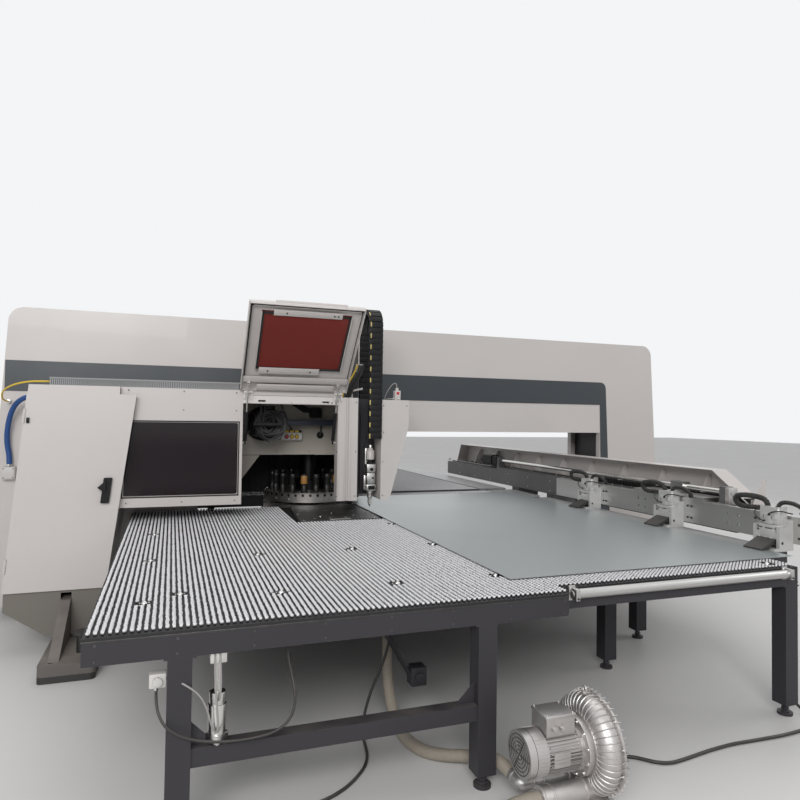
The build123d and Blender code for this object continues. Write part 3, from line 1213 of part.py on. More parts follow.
def clamp_jaw(y):
    """Upper jaw that rocks on a pin between the clamp's cheeks."""
    half = CLAMP_WIDTH / 2
    low = SHEET_BOTTOM + SHEET_THICKNESS + RUNNING_GAP
    finger = prism_y([(JAW_TIP + 4, low), (SHEET_RIGHT - 2, low), (SHEET_RIGHT + 24, low + 28), (CLAMP_LEFT + 50, JAW_PIVOT_Z - 16),
                      (CLAMP_LEFT + 50, JAW_PIVOT_Z + 20), (JAW_PIVOT_X - 20, JAW_PIVOT_Z + 20), (JAW_TIP + 4, low + 9)],
                     y - half * 0.7, y + half * 0.7)
    pin = bar_y(JAW_PIVOT_X, y - half, y + half, JAW_PIVOT_Z, JAW_PIN)
    return finger + pin


def clamp_jaws():
    return group(*[clamp_jaw(y) for y in CLAMP_SPOTS])


def clamp_chain(y):
    """Flat hose chain that loops from a clamp's cylinder back along the bar."""
    start = y + CLAMP_WIDTH * 0.275
    turn, post = start + CLAMP_CHAIN_RUN, start - CLAMP_CHAIN_BACK
    low, high = BAR_HIGH + 20.0, BAR_HIGH + 20.0 + 2 * CLAMP_CHAIN_BEND
    x = (CLAMP_LEFT + 20, CLAMP_LEFT + 60)
    thick = CLAMP_CHAIN_THICKNESS
    axis = low + CLAMP_CHAIN_BEND
    loop = bar_x(*x, turn, axis, CLAMP_CHAIN_BEND) - bar_x(*x, turn, axis, CLAMP_CHAIN_BEND - thick)
    loop -= block(x, (turn - CLAMP_CHAIN_BEND, turn), (low, high))
    loop += block(x, (start, turn), (low, low + thick))
    loop += block(x, (post, turn), (high - thick, high))
    on_plate = CARRIAGE_FRONT < post < CARRIAGE_BACK
    seat = CARRIAGE_Z + CARRIAGE_PLATE if on_plate else BAR_HIGH
    loop += block(x, (post, post + thick), (seat, high - thick))
    return loop + block((x[0], BAR_LEFT + 30), (post, post + thick), (seat, seat + 8))


def clamp_chains():
    return group(*[clamp_chain(y) for y in CLAMP_SPOTS])


def workpiece_sheet():
    return block((SHEET_LEFT, SHEET_RIGHT), (SHEET_FRONT, SHEET_FRONT + SHEET_LENGTH),
                 (SHEET_BOTTOM, SHEET_BOTTOM + SHEET_THICKNESS))


# Ring blower on the floor

def blower_casing():
    """Side-channel casing with ribs, silencer pipes and foot."""
    x, y, z = BLOWER_X, BLOWER_Y, BLOWER_AXIS_Z
    major = BLOWER_RADIUS - BLOWER_TUBE - 4
    ring = Pos(x, y, z) * Rot(0, 90, 0) * Torus(major, BLOWER_TUBE)
    disc = bar_x(x - 70, x - 20, y, z, major)
    shape = ring + disc
    for index in range(BLOWER_RIB_COUNT):
        angle = 360 * index / BLOWER_RIB_COUNT
        rib = Pos(0, 0, major + BLOWER_TUBE * 0.5) * Box(BLOWER_TUBE * 1.5, 5, BLOWER_TUBE + 8)
        if 120 < angle < 240:
            continue
        shape += Pos(x, y, z) * Rot(angle, 0, 0) * rib
    shape += bar_x(PORT_LEFT_FRONT, x, y - PORT_SPREAD, PORT_Z, 42)
    shape += bar_x(PORT_LEFT_REAR, x, y + PORT_SPREAD, PORT_Z, 42)
    elbow_x, elbow_y = SUCTION_ROUTE[0][0], y + PORT_SPREAD
    spigot = HOSE_RADIUS + 4
    shape += bar_x(elbow_x, PORT_LEFT_REAR, elbow_y, PORT_Z, spigot) + Pos(elbow_x, elbow_y, PORT_Z) * Sphere(spigot)
    shape += bar_y(elbow_x, elbow_y, SUCTION_ROUTE[0][1], PORT_Z, spigot)
    shape += block((x - 120, x + 40), (y - 130, y + 130), (14, 60))
    for fx in (x - 110, x + 20):
        for side in (-1, 1):
            shape += block((fx, fx + 34), (y + side * 110 - 20, y + side * 110 + 20), (0, 14))
    return shape


def blower_motor():
    """Finned motor with fan cowl and terminal box."""
    y, z = BLOWER_Y, BLOWER_AXIS_Z
    right = BLOWER_X - 70
    left = BLOWER_MOTOR_LEFT
    radius = BLOWER_MOTOR_RADIUS
    shape = bar_x(left + 85, right, y, z, radius - 12)
    shape += bar_x(left, left + 85, y, z, radius)
    shape += bar_x(right - 22, right, y, z, radius)
    for index in range(24):
        angle = 360 * index / 24
        fin = Pos(0, 0, radius - 9) * Box(right - left - 110, 4, 16)
        shape += Pos((left + right) / 2 + 40, y, z) * Rot(angle, 0, 0) * fin
    return shape + block((right - 165, right - 35), (y - 55, y + 55), (z + radius - 14, z + radius + 64))


# Cables and hoses

def cord_tube(points, radius, least=5.0):
    """A round tube along straight runs joined by the largest tangent arcs."""
    knots = [Vector(*p) for p in points]
    radii = []
    for before, here, after in zip(knots, knots[1:], knots[2:]):
        one, two = here - before, after - here
        turn = math.radians(one.get_angle(two))
        radii.append(0.45 * min(one.length, two.length) / math.tan(turn / 2))
    path = FilletPolyline(*points, radius=radii)
    start = Plane(origin=path @ 0, z_dir=path % 0)
    tube = sweep(start * Circle(radius), path=path)
    share = tube.volume / (math.pi * radius ** 2 * path.length)
    print("cord length", round(path.length), "least bend", round(min(radii)), "diameter", 2 * radius,
          "volume share", round(share, 4))
    return tube


SUCTION_ROUTE = [(-466, -3305, 88), (-466, -3160, 88), (-525, -3050, 46), (-680, -2955, 30), (-745, -2840, 29),
                 (-749, -2665, 32), (-745, -2545, 98), (-747, -2478, 221), (-744, -2473, 440), (-744, -2473, 695)]
OUTLET_ROUTE = [(-455, -3481, 88), (-530, -3481, 88), (-610, -3478, 66), (-695, -3470, 40), (-780, -3458, 31),
                (-865, -3446, 30)]
BLOWER_CABLE_ROUTE = [(-145, -3330, 40), (-85, -3330, 40), (-20, -3316, 30), (44, -3272, 15), (104, -3218, 11),
                      (166, -3204, 11), (222, -3240, 12), (268, -3296, 12), (330, -3326, 11), (405, -3322, 12),
                      (485, -3310, 11), (570, -3298, 12), (660, -3288, 11), (755, -3284, 12), (855, -3288, 11),
                      (955, -3294, 12), (1055, -3296, 11), (1150, -3294, 12), (1240, -3284, 11), (1322, -3256, 12),
                      (1384, -3206, 12), (1408, -3144, 16), (1400, -3086, 44), (1372, -3050, 100),
                      (1342, -3036, 190), (1326, -3033, 320), (1323, -3034, 500), (1323, -3034, 695)]
TABLE_CABLE_ROUTE = [(-1869, -3200, 585), (-1869, -3200, 552), (-1863, -3234, 512), (-1840, -3260, 470),
                     (-1796, -3268, 434), (-1740, -3268, 408), (-1672, -3267, 391), (-1596, -3266, 383),
                     (-1518, -3265, 383), (-1448, -3264, 393), (-1400, -3260, 422), (-1376, -3250, 466),
                     (-1372, -3232, 515), (-1378, -3205, 560), (-1384, -3168, 600), (-1386, -3140, 645),
                     (-1386, -3130, 695)]
FLOOR_CABLE_ROUTE = [(-760, -2600, 781), (-760, -2600, 660), (-764, -2598, 540), (-778, -2600, 430),
                     (-814, -2606, 325),
                     (-864, -2606, 226), (-896, -2604, 130), (-912, -2606, 56), (-926, -2640, 14),
                     (-934, -2700, 11), (-944, -2770, 11), (-960, -2845, 11), (-992, -2915, 11),
                     (-1040, -2975, 11), (-1098, -3034, 11), (-1165, -3080, 11), (-1240, -3112, 11),
                     (-1320, -3128, 11), (-1400, -3126, 11)]
FIBRE_ROUTE = [(-2640, -680, 1785), (-2700, -680, 1785), (-2762, -676, 1782), (-2822, -660, 1772),
               (-2880, -624, 1756), (-2930, -568, 1736), (-2966, -500, 1712), (-2988, -425, 1686),
               (-2998, -345, 1662), (-3000, -260, 1650), (-3000, -165, 1650)]
WATER_ROUTE = [(-2722.3, -300, 1690), (-2775, -300, 1690), (-2830, -292, 1688), (-2882, -276, 1672),
               (-2926, -252, 1640), (-2958, -226, 1592), (-2980, -204, 1530), (-2994, -186, 1460),
               (-3001, -172, 1385), (-2998, -160, 1310), (-2983, -155, 1236), (-2983, -155, 1158)]


def suction_hose():
    return cord_tube(SUCTION_ROUTE, HOSE_RADIUS)


def outlet_hose():
    return cord_tube(OUTLET_ROUTE, HOSE_RADIUS)


def blower_cable():
    return cord_tube(BLOWER_CABLE_ROUTE, 8)


def table_cable():
    return cord_tube(TABLE_CABLE_ROUTE, 5)


def floor_cable():
    return cord_tube(FLOOR_CABLE_ROUTE, 7)


def fibre_cable():
    return cord_tube(FIBRE_ROUTE, 6)


def water_hose():
    return cord_tube(WATER_ROUTE, 19)


PARTS = {
    "frame_base_beam": frame_base_beam,
    "frame_columns": frame_columns,
    "frame_top_beam": frame_top_beam,
    "front_covers": front_covers,
    "rear_covers": rear_covers,
    "end_covers": end_covers,
    "side_bands": side_bands,
    "frame_feet": frame_feet,
    "levelling_feet": levelling_feet,
    "cabinet_shell": cabinet_shell,
    "cabinet_plinth": cabinet_plinth,
    "cabinet_door": cabinet_door,
    "door_handle": door_handle,
    "window_box": window_box,
    "window_pane": window_pane,
    "bay_panels": bay_panels,
    "service_fittings": service_fittings,
    "push_button_box": push_button_box,
    "stop_button": lambda: push_button(BUTTON_SPOTS[0]),
    "left_button": lambda: push_button(BUTTON_SPOTS[1]),
    "right_button": lambda: push_button(BUTTON_SPOTS[2]),
    "turret_motor": turret_motor,
    "ribbed_column": ribbed_column,
    "laser_recess": laser_recess,
    "laser_head": laser_head,
    "tapered_cover": tapered_cover,
    "laser_energy_chain": laser_energy_chain,
    "hatch_frame": hatch_frame,
    "hatch_pane": hatch_pane,
    "gas_spring_barrels": gas_spring_barrels,
    "gas_spring_rods": gas_spring_rods,
    "upper_turret": upper_turret,
    "lower_turret": lower_turret,
    "punch_holders": punch_holders,
    "punch_ram": punch_ram,
    "front_bed": front_bed,
    "rear_bed": rear_bed,
    "bed_brushes": bed_brushes,
    "table_frame": table_frame,
    "front_roller": front_roller,
    "die_plate": die_plate,
    "plates_and_brackets": plates_and_brackets,
    "beam_body": beam_body,
    "beam_hood": beam_hood,
    "ball_screw": ball_screw,
    "screw_motor": screw_motor,
    "clamp_carriage": clamp_carriage,
    "clamps": clamps,
    "clamp_jaws": clamp_jaws,
    "clamp_chains": clamp_chains,
    "workpiece_sheet": workpiece_sheet,
    "blower_casing": blower_casing,
    "blower_motor": blower_motor,
    "suction_hose": suction_hose,
    "outlet_hose": outlet_hose,
    "blower_cable": blower_cable,
    "table_cable": table_cable,
    "floor_cable": floor_cable,
    "fibre_cable": fibre_cable,
    "water_hose": water_hose,
}

os.makedirs("parts", exist_ok=True)
for node, build in PARTS.items():
    export_step(build(), "parts/" + node + ".step")
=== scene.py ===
"""Blender scene of a turret punch press with a laser head, brush tables and a sheet carriage."""

import logging
import random
from dataclasses import dataclass, replace
from enum import Enum
from math import cos, hypot, pi, radians, remainder, sin, tau

import bmesh
import bpy
from mathutils import Matrix, Vector


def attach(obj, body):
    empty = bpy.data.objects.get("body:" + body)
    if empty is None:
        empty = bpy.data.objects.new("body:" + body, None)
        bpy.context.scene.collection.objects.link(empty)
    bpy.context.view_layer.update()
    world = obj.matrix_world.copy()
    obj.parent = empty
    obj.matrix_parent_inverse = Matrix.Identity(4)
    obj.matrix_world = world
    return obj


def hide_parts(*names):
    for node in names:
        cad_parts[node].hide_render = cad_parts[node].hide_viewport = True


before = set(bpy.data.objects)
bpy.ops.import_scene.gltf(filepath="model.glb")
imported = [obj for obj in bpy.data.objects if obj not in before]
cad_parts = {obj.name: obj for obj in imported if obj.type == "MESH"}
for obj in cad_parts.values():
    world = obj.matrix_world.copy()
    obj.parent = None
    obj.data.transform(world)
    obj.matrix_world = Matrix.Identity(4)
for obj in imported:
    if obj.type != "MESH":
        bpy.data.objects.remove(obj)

LOG = logging.getLogger("press")

Colour = tuple[float, float, float]
Point = tuple[float, float, float]
Span = float | tuple[float, float]
Route = tuple[Point, ...]
Spots = tuple[tuple[float, float], ...]
Item = bpy.types.Object
Node = bpy.types.Node
Socket = bpy.types.NodeSocket


class Slot(Enum):
    """Names of material slots, one carried by each finish."""

    WHITE = "white_paint"
    GREY = "grey_paint"
    BAND = "dark_band"
    DARK = "dark_paint"
    PLASTIC = "black_plastic"
    RUBBER = "rubber"
    TINTED = "tinted_glass"
    RED_PANE = "red_glass"
    STEEL = "steel"
    DARK_STEEL = "dark_steel"
    SHEET = "sheet_metal"
    CASTING = "casting"
    BRUSH = "brush"
    BEIGE = "beige_plate"
    BLUE = "blue_hose"
    YELLOW = "yellow_cable"
    SPIRAL = "spiral_hose"
    RED = "red_button"
    AMBER = "yellow_button"
    ORANGE = "orange_cap"


class Graph:
    """Short calls for building the nodes of one tree."""

    def __init__(self, tree: bpy.types.NodeTree) -> None:
        """Keeps the tree that the calls add to."""
        self.tree = tree

    def add(self, kind: str, **settings: object) -> Node:
        """Adds a node and gives it its settings.

        Args:
            kind: Blender's name of the node type.
            settings: properties of the node.

        Returns:
            The new node.
        """
        node = self.tree.nodes.new(kind)
        for name, value in settings.items():
            setattr(node, name, value)
        return node

    def put(self, socket: Socket, value: object) -> None:
        """Links a socket to another, or sets its value.

        Args:
            socket: the input to fill.
            value: an output socket, a number, a vector or a colour.
        """
        if isinstance(value, Socket):
            self.tree.links.new(value, socket)
            return
        if isinstance(value, tuple) and len(value) == 3 and socket.type == "RGBA":
            value = (*value, 1.0)
        socket.default_value = value

    def fill(self, node: Node, values: dict[int | str, object]) -> None:
        """Fills several inputs of a node, given by number or name."""
        for key, value in values.items():
            self.put(node.inputs[key], value)

    def fed(self, kind: str, values: dict[int | str, object], **settings: object) -> Node:
        """Adds a node with filled inputs.

        Args:
            kind: Blender's name of the node type.
            values: a value or socket for each input, given by number or name.
            settings: properties of the node.

        Returns:
            The new node.
        """
        node = self.add(kind, **settings)
        self.fill(node, values)
        return node

    def maths(self, operation: str, one: object, two: object = 0.0) -> Socket:
        """A sum or product of two values."""
        return self.fed("ShaderNodeMath", {0: one, 1: two}, operation=operation).outputs[0]

    def place(self) -> Socket:
        """The point on the surface in Object coordinates."""
        return self.add("ShaderNodeTexCoord").outputs["Object"]

    def part(self, vector: Socket, axis: str) -> Socket:
        """One of a vector's three numbers, named X, Y or Z."""
        return self.fed("ShaderNodeSeparateXYZ", {0: vector}).outputs[axis]

    def stretched(self, vector: Socket, by: object) -> Socket:
        """The vector multiplied number by number with three factors."""
        return self.fed("ShaderNodeVectorMath", {0: vector, 1: by}, operation="MULTIPLY").outputs[0]

    def noise(self, vector: Socket, scale: object, detail: float = 3.0) -> Socket:
        """A cloudy pattern between 0 and 1, with so many patches per metre and finer layers."""
        return self.fed("ShaderNodeTexNoise", {"Vector": vector, "Scale": scale,
            "Detail": detail}).outputs["Fac"]

    def remap(self, value: object, low: object, high: object, start: object = 0.0,
            end: object = 1.0) -> Socket:
        """A value moved from one range, low to high, to another, start to end, and held inside it."""
        return self.fed("ShaderNodeMapRange", dict(enumerate((value, low, high, start, end)))).outputs[0]

    def blend(self, share: object, one: object, two: object) -> Socket:
        """Two colours mixed.

        Args:
            share: 0 gives the first colour and 1 the second.
            one: first colour or socket.
            two: second colour or socket.

        Returns:
            The colour's socket.
        """
        node = self.fed("ShaderNodeMix", {0: share}, data_type="RGBA")
        for socket, colour in zip([socket for socket in node.inputs if socket.type == "RGBA"], (one, two)):
            self.put(socket, colour)
        return next(socket for socket in node.outputs if socket.type == "RGBA")


class WearGroup:
    """The shared group that ages a surface with patches, dust, grain and worn edges."""

    NAME = "aged_surface"
    SOCKETS = {
        "base": "Color", "shade": "Color", "worn": "Color", "dust": "Color", "patches": "Float",
        "patch_scale": "Float", "wear": "Float", "edge": "Float", "dusting": "Float", "roughness": "Float",
        "rough_spread": "Float", "grain_scale": "Float", "grain_stretch": "Vector"}
    RESULTS = {"colour": "Color", "roughness": "Float", "height": "Float"}

    @classmethod
    def tree(cls) -> bpy.types.NodeTree:
        """Builds the group, or finds it where it was built before.

        Returns:
            The node group.
        """
        known = bpy.data.node_groups.get(cls.NAME)
        if known:
            return known
        tree = bpy.data.node_groups.new(cls.NAME, "ShaderNodeTree")
        for side, sockets in (("INPUT", cls.SOCKETS), ("OUTPUT", cls.RESULTS)):
            for name, kind in sockets.items():
                tree.interface.new_socket(name=name, in_out=side, socket_type=f"NodeSocket{kind}")
        cls._fill(Graph(tree))
        return tree

    @staticmethod
    def _fill(graph: Graph) -> None:
        """Wires the group's nodes.

        Args:
            graph: the group's tree.
        """
        given = graph.add("NodeGroupInput").outputs
        end = graph.add("NodeGroupOutput")
        point = graph.place()
        clouds = graph.noise(point, given["patch_scale"], 4.0)
        fine = graph.noise(graph.stretched(point, given["grain_stretch"]), given["grain_scale"], 2.0)
        patch = graph.maths("MULTIPLY", graph.remap(clouds, 0.35, 0.7), given["patches"])
        colour = graph.blend(patch, given["base"], given["shade"])
        soft = graph.fed("ShaderNodeBevel", {"Radius": given["edge"]}, samples=2)
        surface = graph.add("ShaderNodeNewGeometry")
        facing = graph.fed("ShaderNodeVectorMath", {0: soft.outputs[0], 1: surface.outputs["Normal"]},
            operation="DOT_PRODUCT")
        edge = graph.remap(facing.outputs["Value"], 0.99, 0.8)
        broken = graph.remap(graph.noise(point, 38.0, 3.0), 0.42, 0.62)
        worn = graph.maths("MULTIPLY", graph.maths("MULTIPLY", edge, broken), given["wear"])
        colour = graph.blend(worn, colour, given["worn"])
        upward = graph.remap(graph.part(surface.outputs["Normal"], "Z"), 0.3, 1.0)
        settled = graph.maths("MULTIPLY", graph.remap(graph.noise(point, 6.0, 5.0), 0.3, 0.75), upward)
        dusty = graph.maths("MULTIPLY", settled, given["dusting"])
        colour = graph.blend(dusty, colour, given["dust"])
        swing = graph.maths("MULTIPLY", graph.maths("SUBTRACT", clouds, 0.5), given["rough_spread"])
        rough = graph.maths("ADD", graph.maths("ADD", given["roughness"], swing),
            graph.maths("MULTIPLY", fine, 0.06))
        rough = graph.maths("ADD", rough, graph.maths("MULTIPLY", dusty, 0.3))
        graph.fill(end, {"colour": colour, "roughness": rough, "height": fine})


@dataclass(frozen=True)
class Finish:
    """Colours and surface numbers of one paint, metal, rubber or plastic."""

    name: str
    slot: Slot
    base: Colour
    shade: Colour
    roughness: float
    metallic: float = 0.0
    worn: Colour = (0.45, 0.44, 0.42)
    dust: Colour = (0.42, 0.38, 0.33)
    patches: float = 0.5
    patch_scale: float = 2.2
    wear: float = 0.25
    edge: float = 0.002
    dusting: float = 0.05
    rough_spread: float = 0.16
    grain_scale: float = 900.0
    grain_stretch: Point = (1.0, 1.0, 1.0)
    grain_depth: float = 0.0004
    coat: float = 0.0
    gloss: float = 0.5

    def aged(self, graph: Graph) -> Node:
        """Places the shared group with this finish's numbers.

        Args:
            graph: the material's tree.

        Returns:
            The group's node.
        """
        node = graph.add("ShaderNodeGroup", node_tree=WearGroup.tree())
        graph.fill(node, {name: getattr(self, name) for name in WearGroup.SOCKETS})
        return node

    def pattern(self, graph: Graph, colour: Socket, height: Socket) -> tuple[Socket, Socket]:
        """Adds what the finish has beyond age: nothing here, and more in those built on this one."""
        return colour, height

    def material(self) -> bpy.types.Material:
        """Builds the material, or finds it where it was built before.

        Returns:
            The material.
        """
        known = bpy.data.materials.get(self.name)
        if known:
            return known
        material = bpy.data.materials.new(self.name)
        material.use_nodes = True
        graph = Graph(material.node_tree)
        shader = material.node_tree.nodes["Principled BSDF"]
        aged = self.aged(graph)
        colour, height = self.pattern(graph, aged.outputs["colour"], aged.outputs["height"])
        bump = graph.fed("ShaderNodeBump", {"Height": height, "Distance": self.grain_depth, "Strength": 0.6})
        graph.fill(shader, {"Base Color": colour, "Roughness": aged.outputs["roughness"],
            "Metallic": self.metallic, "Coat Weight": self.coat, "Specular IOR Level": self.gloss,
            "Normal": bump.outputs[0]})
        return material


@dataclass(frozen=True)
class Bristle(Finish):
    """Pale upright hairs, with painted shade that darkens them towards the foot of the tuft."""

    hair_scale: float = 700.0
    floor: float = 0.793
    tip: float = 0.808
    # painted shade: the near-black colour each tuft fades to at its foot, standing in for the shade between
    # the tufts
    foot_shade_colour: Colour = (0.006, 0.006, 0.007)

    def pattern(self, graph: Graph, colour: Socket, height: Socket) -> tuple[Socket, Socket]:
        """Draws the hairs and paints the shade between the tufts on their foot.

        Args:
            graph: the material's tree.
            colour: the aged colour.
            height: the fine grain; not used.

        Returns:
            The colour and the height.
        """
        point = graph.place()
        # painted shade: darker from just under the tip down to the foot, where shade falls between the tufts;
        # the hair streaks are the bristles' own texture
        foot_shade = graph.remap(graph.part(point, "Z"), self.tip - 0.0035, self.floor + 0.005)
        hairs = graph.remap(graph.noise(graph.stretched(point, (1.0, 1.0, 0.05)), self.hair_scale, 2.0), 0.35,
            0.65)
        dark = graph.maths("ADD", graph.maths("MULTIPLY", foot_shade, 0.97), graph.maths("MULTIPLY", hairs, 0.06))
        return graph.blend(dark, colour, self.foot_shade_colour), hairs


@dataclass(frozen=True)
class TwoTone(Finish):
    """A finish that is another colour past a plane across the machine."""

    inner: Colour = (0.5, 0.46, 0.4)
    axis: str = "Y"
    plane: float = -0.2

    def pattern(self, graph: Graph, colour: Socket, height: Socket) -> tuple[Socket, Socket]:
        """Changes the colour past the plane."""
        behind = graph.maths("GREATER_THAN", graph.part(graph.place(), self.axis), self.plane)
        return graph.blend(behind, colour, self.inner), height


@dataclass(frozen=True)
class Pane(Finish):
    """A clear tinted sheet with faint smears."""

    clear: float = 0.9

    def material(self) -> bpy.types.Material:
        """Builds the material, or finds it where it was built before.

        Returns:
            The material.
        """
        known = bpy.data.materials.get(self.name)
        material = super().material()
        if known is None:
            shader = material.node_tree.nodes["Principled BSDF"]
            shader.inputs["Transmission Weight"].default_value = self.clear
            shader.inputs["IOR"].default_value = 1.49
        return material


WHITE = Finish("white_powder_coat", Slot.WHITE, (0.565, 0.53, 0.51), (0.53, 0.495, 0.478), 0.36, wear=0.12,
    dusting=0.1, coat=0.1)
INNER_WHITE = Finish("inner_powder_coat", Slot.WHITE, (0.56, 0.54, 0.52), (0.51, 0.49, 0.47), 0.42,
    dusting=0.12)
# painted light: the bay's panels take a brighter copy of the white paint, standing in for the light of the
# work lamp inside the bay; past the plane the colour is the back plate's own beige
LAMPLIT_BAY_WHITE = TwoTone("bay_panel_paint_lamplit", Slot.WHITE, (0.66, 0.63, 0.61), (0.62, 0.59, 0.57), 0.36, wear=0.12,
    dusting=0.1)
PLINTH_GREY = Finish("plinth_grey_paint", Slot.GREY, (0.17, 0.155, 0.135), (0.14, 0.128, 0.112), 0.5,
    wear=0.4, dusting=0.3)
BAND = Finish("band_slate_paint", Slot.BAND, (0.036, 0.043, 0.05), (0.03, 0.036, 0.043), 0.38, dusting=0.06)
CHARCOAL = Finish("charcoal_paint", Slot.DARK, (0.035, 0.033, 0.038), (0.028, 0.026, 0.03), 0.42, gloss=0.3,
    worn=(0.2, 0.19, 0.18), wear=0.5, dusting=0.2)
FOOT_GREY = Finish("foot_plate_paint", Slot.GREY, (0.13, 0.115, 0.105), (0.09, 0.08, 0.072), 0.55, wear=0.6,
    dusting=0.4)
BED_BLACK = Finish("bed_black_sheet", Slot.DARK, (0.006, 0.006, 0.007), (0.009, 0.009, 0.01), 0.6,
    dusting=0.015)
BLACK_PLASTIC = Finish("black_moulding", Slot.PLASTIC, (0.01, 0.01, 0.011), (0.016, 0.016, 0.018), 0.5,
    gloss=0.2)
SEAM_BLACK = replace(BLACK_PLASTIC, slot=Slot.DARK)
RUBBER = Finish("black_rubber", Slot.RUBBER, (0.014, 0.014, 0.014), (0.022, 0.021, 0.02), 0.7, dusting=0.2)
STEEL = Finish("ground_steel", Slot.STEEL, (0.56, 0.555, 0.54), (0.46, 0.455, 0.44), 0.3, 1.0, patches=0.6,
    grain_scale=220.0, grain_stretch=(1.0, 0.04, 1.0), dusting=0.06)
BRIGHT_STEEL = Finish("turned_steel", Slot.STEEL, (0.68, 0.67, 0.65), (0.55, 0.54, 0.52), 0.2, 1.0,
    grain_scale=500.0, dusting=0.03)
DARK_STEEL = Finish("blackened_steel", Slot.DARK_STEEL, (0.07, 0.068, 0.067), (0.045, 0.044, 0.043), 0.42,
    0.8, worn=(0.4, 0.39, 0.37), wear=0.7, dusting=0.08)
RING_STEEL = TwoTone("turret_rim_steel", Slot.STEEL, (0.36, 0.34, 0.325), (0.24, 0.225, 0.215), 0.34, 0.9,
    wear=0.5, inner=(0.02, 0.02, 0.021), axis="Z", plane=0.9035, worn=(0.5, 0.48, 0.45), dusting=0.08)
DIE_BLACK = Finish("die_plate_steel", Slot.DARK_STEEL, (0.06, 0.06, 0.061), (0.13, 0.13, 0.13), 0.34, 0.7,
    patches=0.9, patch_scale=7.0)
SHEET_METAL = Finish("rolled_blank", Slot.SHEET, (0.4, 0.435, 0.435), (0.37, 0.4, 0.405), 0.3, 0.55,
    patches=0.4, patch_scale=1.2, rough_spread=0.06, grain_scale=160.0, grain_stretch=(1.0, 0.02, 1.0),
    grain_depth=0.0001, dusting=0.0, wear=0.0)
SIDE_PLATE = Finish("pale_side_plate", Slot.BEIGE, (0.42, 0.42, 0.425), (0.36, 0.36, 0.37), 0.36, 0.35,
    patches=0.6, dusting=0.12)
BEAM_GREY = Finish("beam_side_grey", Slot.GREY, (0.12, 0.118, 0.12), (0.09, 0.088, 0.09), 0.45, 0.2,
    dusting=0.15)
CASTING = Finish("cast_aluminium", Slot.CASTING, (0.52, 0.5, 0.49), (0.42, 0.4, 0.39), 0.34, 0.8, patches=0.7,
    patch_scale=9.0, grain_scale=420.0, grain_depth=0.0012, dusting=0.15)
BRISTLE = Bristle("bristle_tufts", Slot.BRUSH, (0.93, 0.92, 0.94), (0.86, 0.85, 0.87), 0.7, gloss=0.2,
    dusting=0.0, wear=0.0, grain_depth=0.0015)
ALLOY = Finish("anodised_alloy", Slot.STEEL, (0.58, 0.575, 0.565), (0.49, 0.485, 0.475), 0.34, 0.4)
BOX_WHITE = Finish("moulded_white_box", Slot.WHITE, (0.8, 0.79, 0.77), (0.74, 0.73, 0.71), 0.4)
HOSE_GREY = Finish("spiral_hose_wall", Slot.SPIRAL, (0.33, 0.29, 0.24), (0.25, 0.22, 0.18), 0.55,
    dusting=0.25)
CABLE_BLACK = Finish("cable_jacket", Slot.RUBBER, (0.02, 0.018, 0.018), (0.03, 0.028, 0.026), 0.5,
    dusting=0.25)
BLUE_HOSE = Finish("blue_water_hose", Slot.BLUE, (0.015, 0.07, 0.24), (0.012, 0.055, 0.19), 0.4)
YELLOW_CABLE = Finish("yellow_fibre_jacket", Slot.YELLOW, (0.72, 0.5, 0.03), (0.62, 0.42, 0.03), 0.42)
RED = Finish("red_button_cap", Slot.RED, (0.5, 0.018, 0.02), (0.42, 0.015, 0.017), 0.28)
AMBER = Finish("yellow_button_cap", Slot.AMBER, (0.75, 0.48, 0.03), (0.66, 0.42, 0.025), 0.28)
ORANGE = Finish("punch_holder_cap", Slot.ORANGE, (0.5, 0.26, 0.07), (0.42, 0.21, 0.055), 0.4)
LINE_GREY = Finish("corrugated_line", Slot.RUBBER, (0.05, 0.05, 0.052), (0.075, 0.074, 0.072), 0.5,
    dusting=0.1, grain_scale=160.0, grain_depth=0.002)
GREY_LINE = Finish("grey_air_line", Slot.GREY, (0.3, 0.29, 0.28), (0.24, 0.23, 0.225), 0.4)
DUCT_GREY = Finish("slotted_trunking", Slot.GREY, (0.3, 0.305, 0.31), (0.26, 0.265, 0.27), 0.5, dusting=0.15)
SLATE_BAR = Finish("slate_blue_bar", Slot.BAND, (0.075, 0.09, 0.135), (0.06, 0.073, 0.112), 0.35)
TAB_YELLOW = Finish("pale_yellow_tab", Slot.YELLOW, (0.56, 0.45, 0.16), (0.46, 0.37, 0.13), 0.45)
DARK_PANE = Pane("dark_tinted_pane", Slot.TINTED, (0.028, 0.016, 0.022), (0.032, 0.019, 0.025), 0.06,
    dusting=0.0, wear=0.0, rough_spread=0.05, grain_depth=0.00002, clear=0.6, gloss=0.2)
RED_PANE = Pane("red_laser_pane", Slot.RED_PANE, (0.24, 0.04, 0.032), (0.21, 0.035, 0.028), 0.08, dusting=0.0,
    wear=0.0, rough_spread=0.05, grain_depth=0.00002, clear=0.35, gloss=0.35)

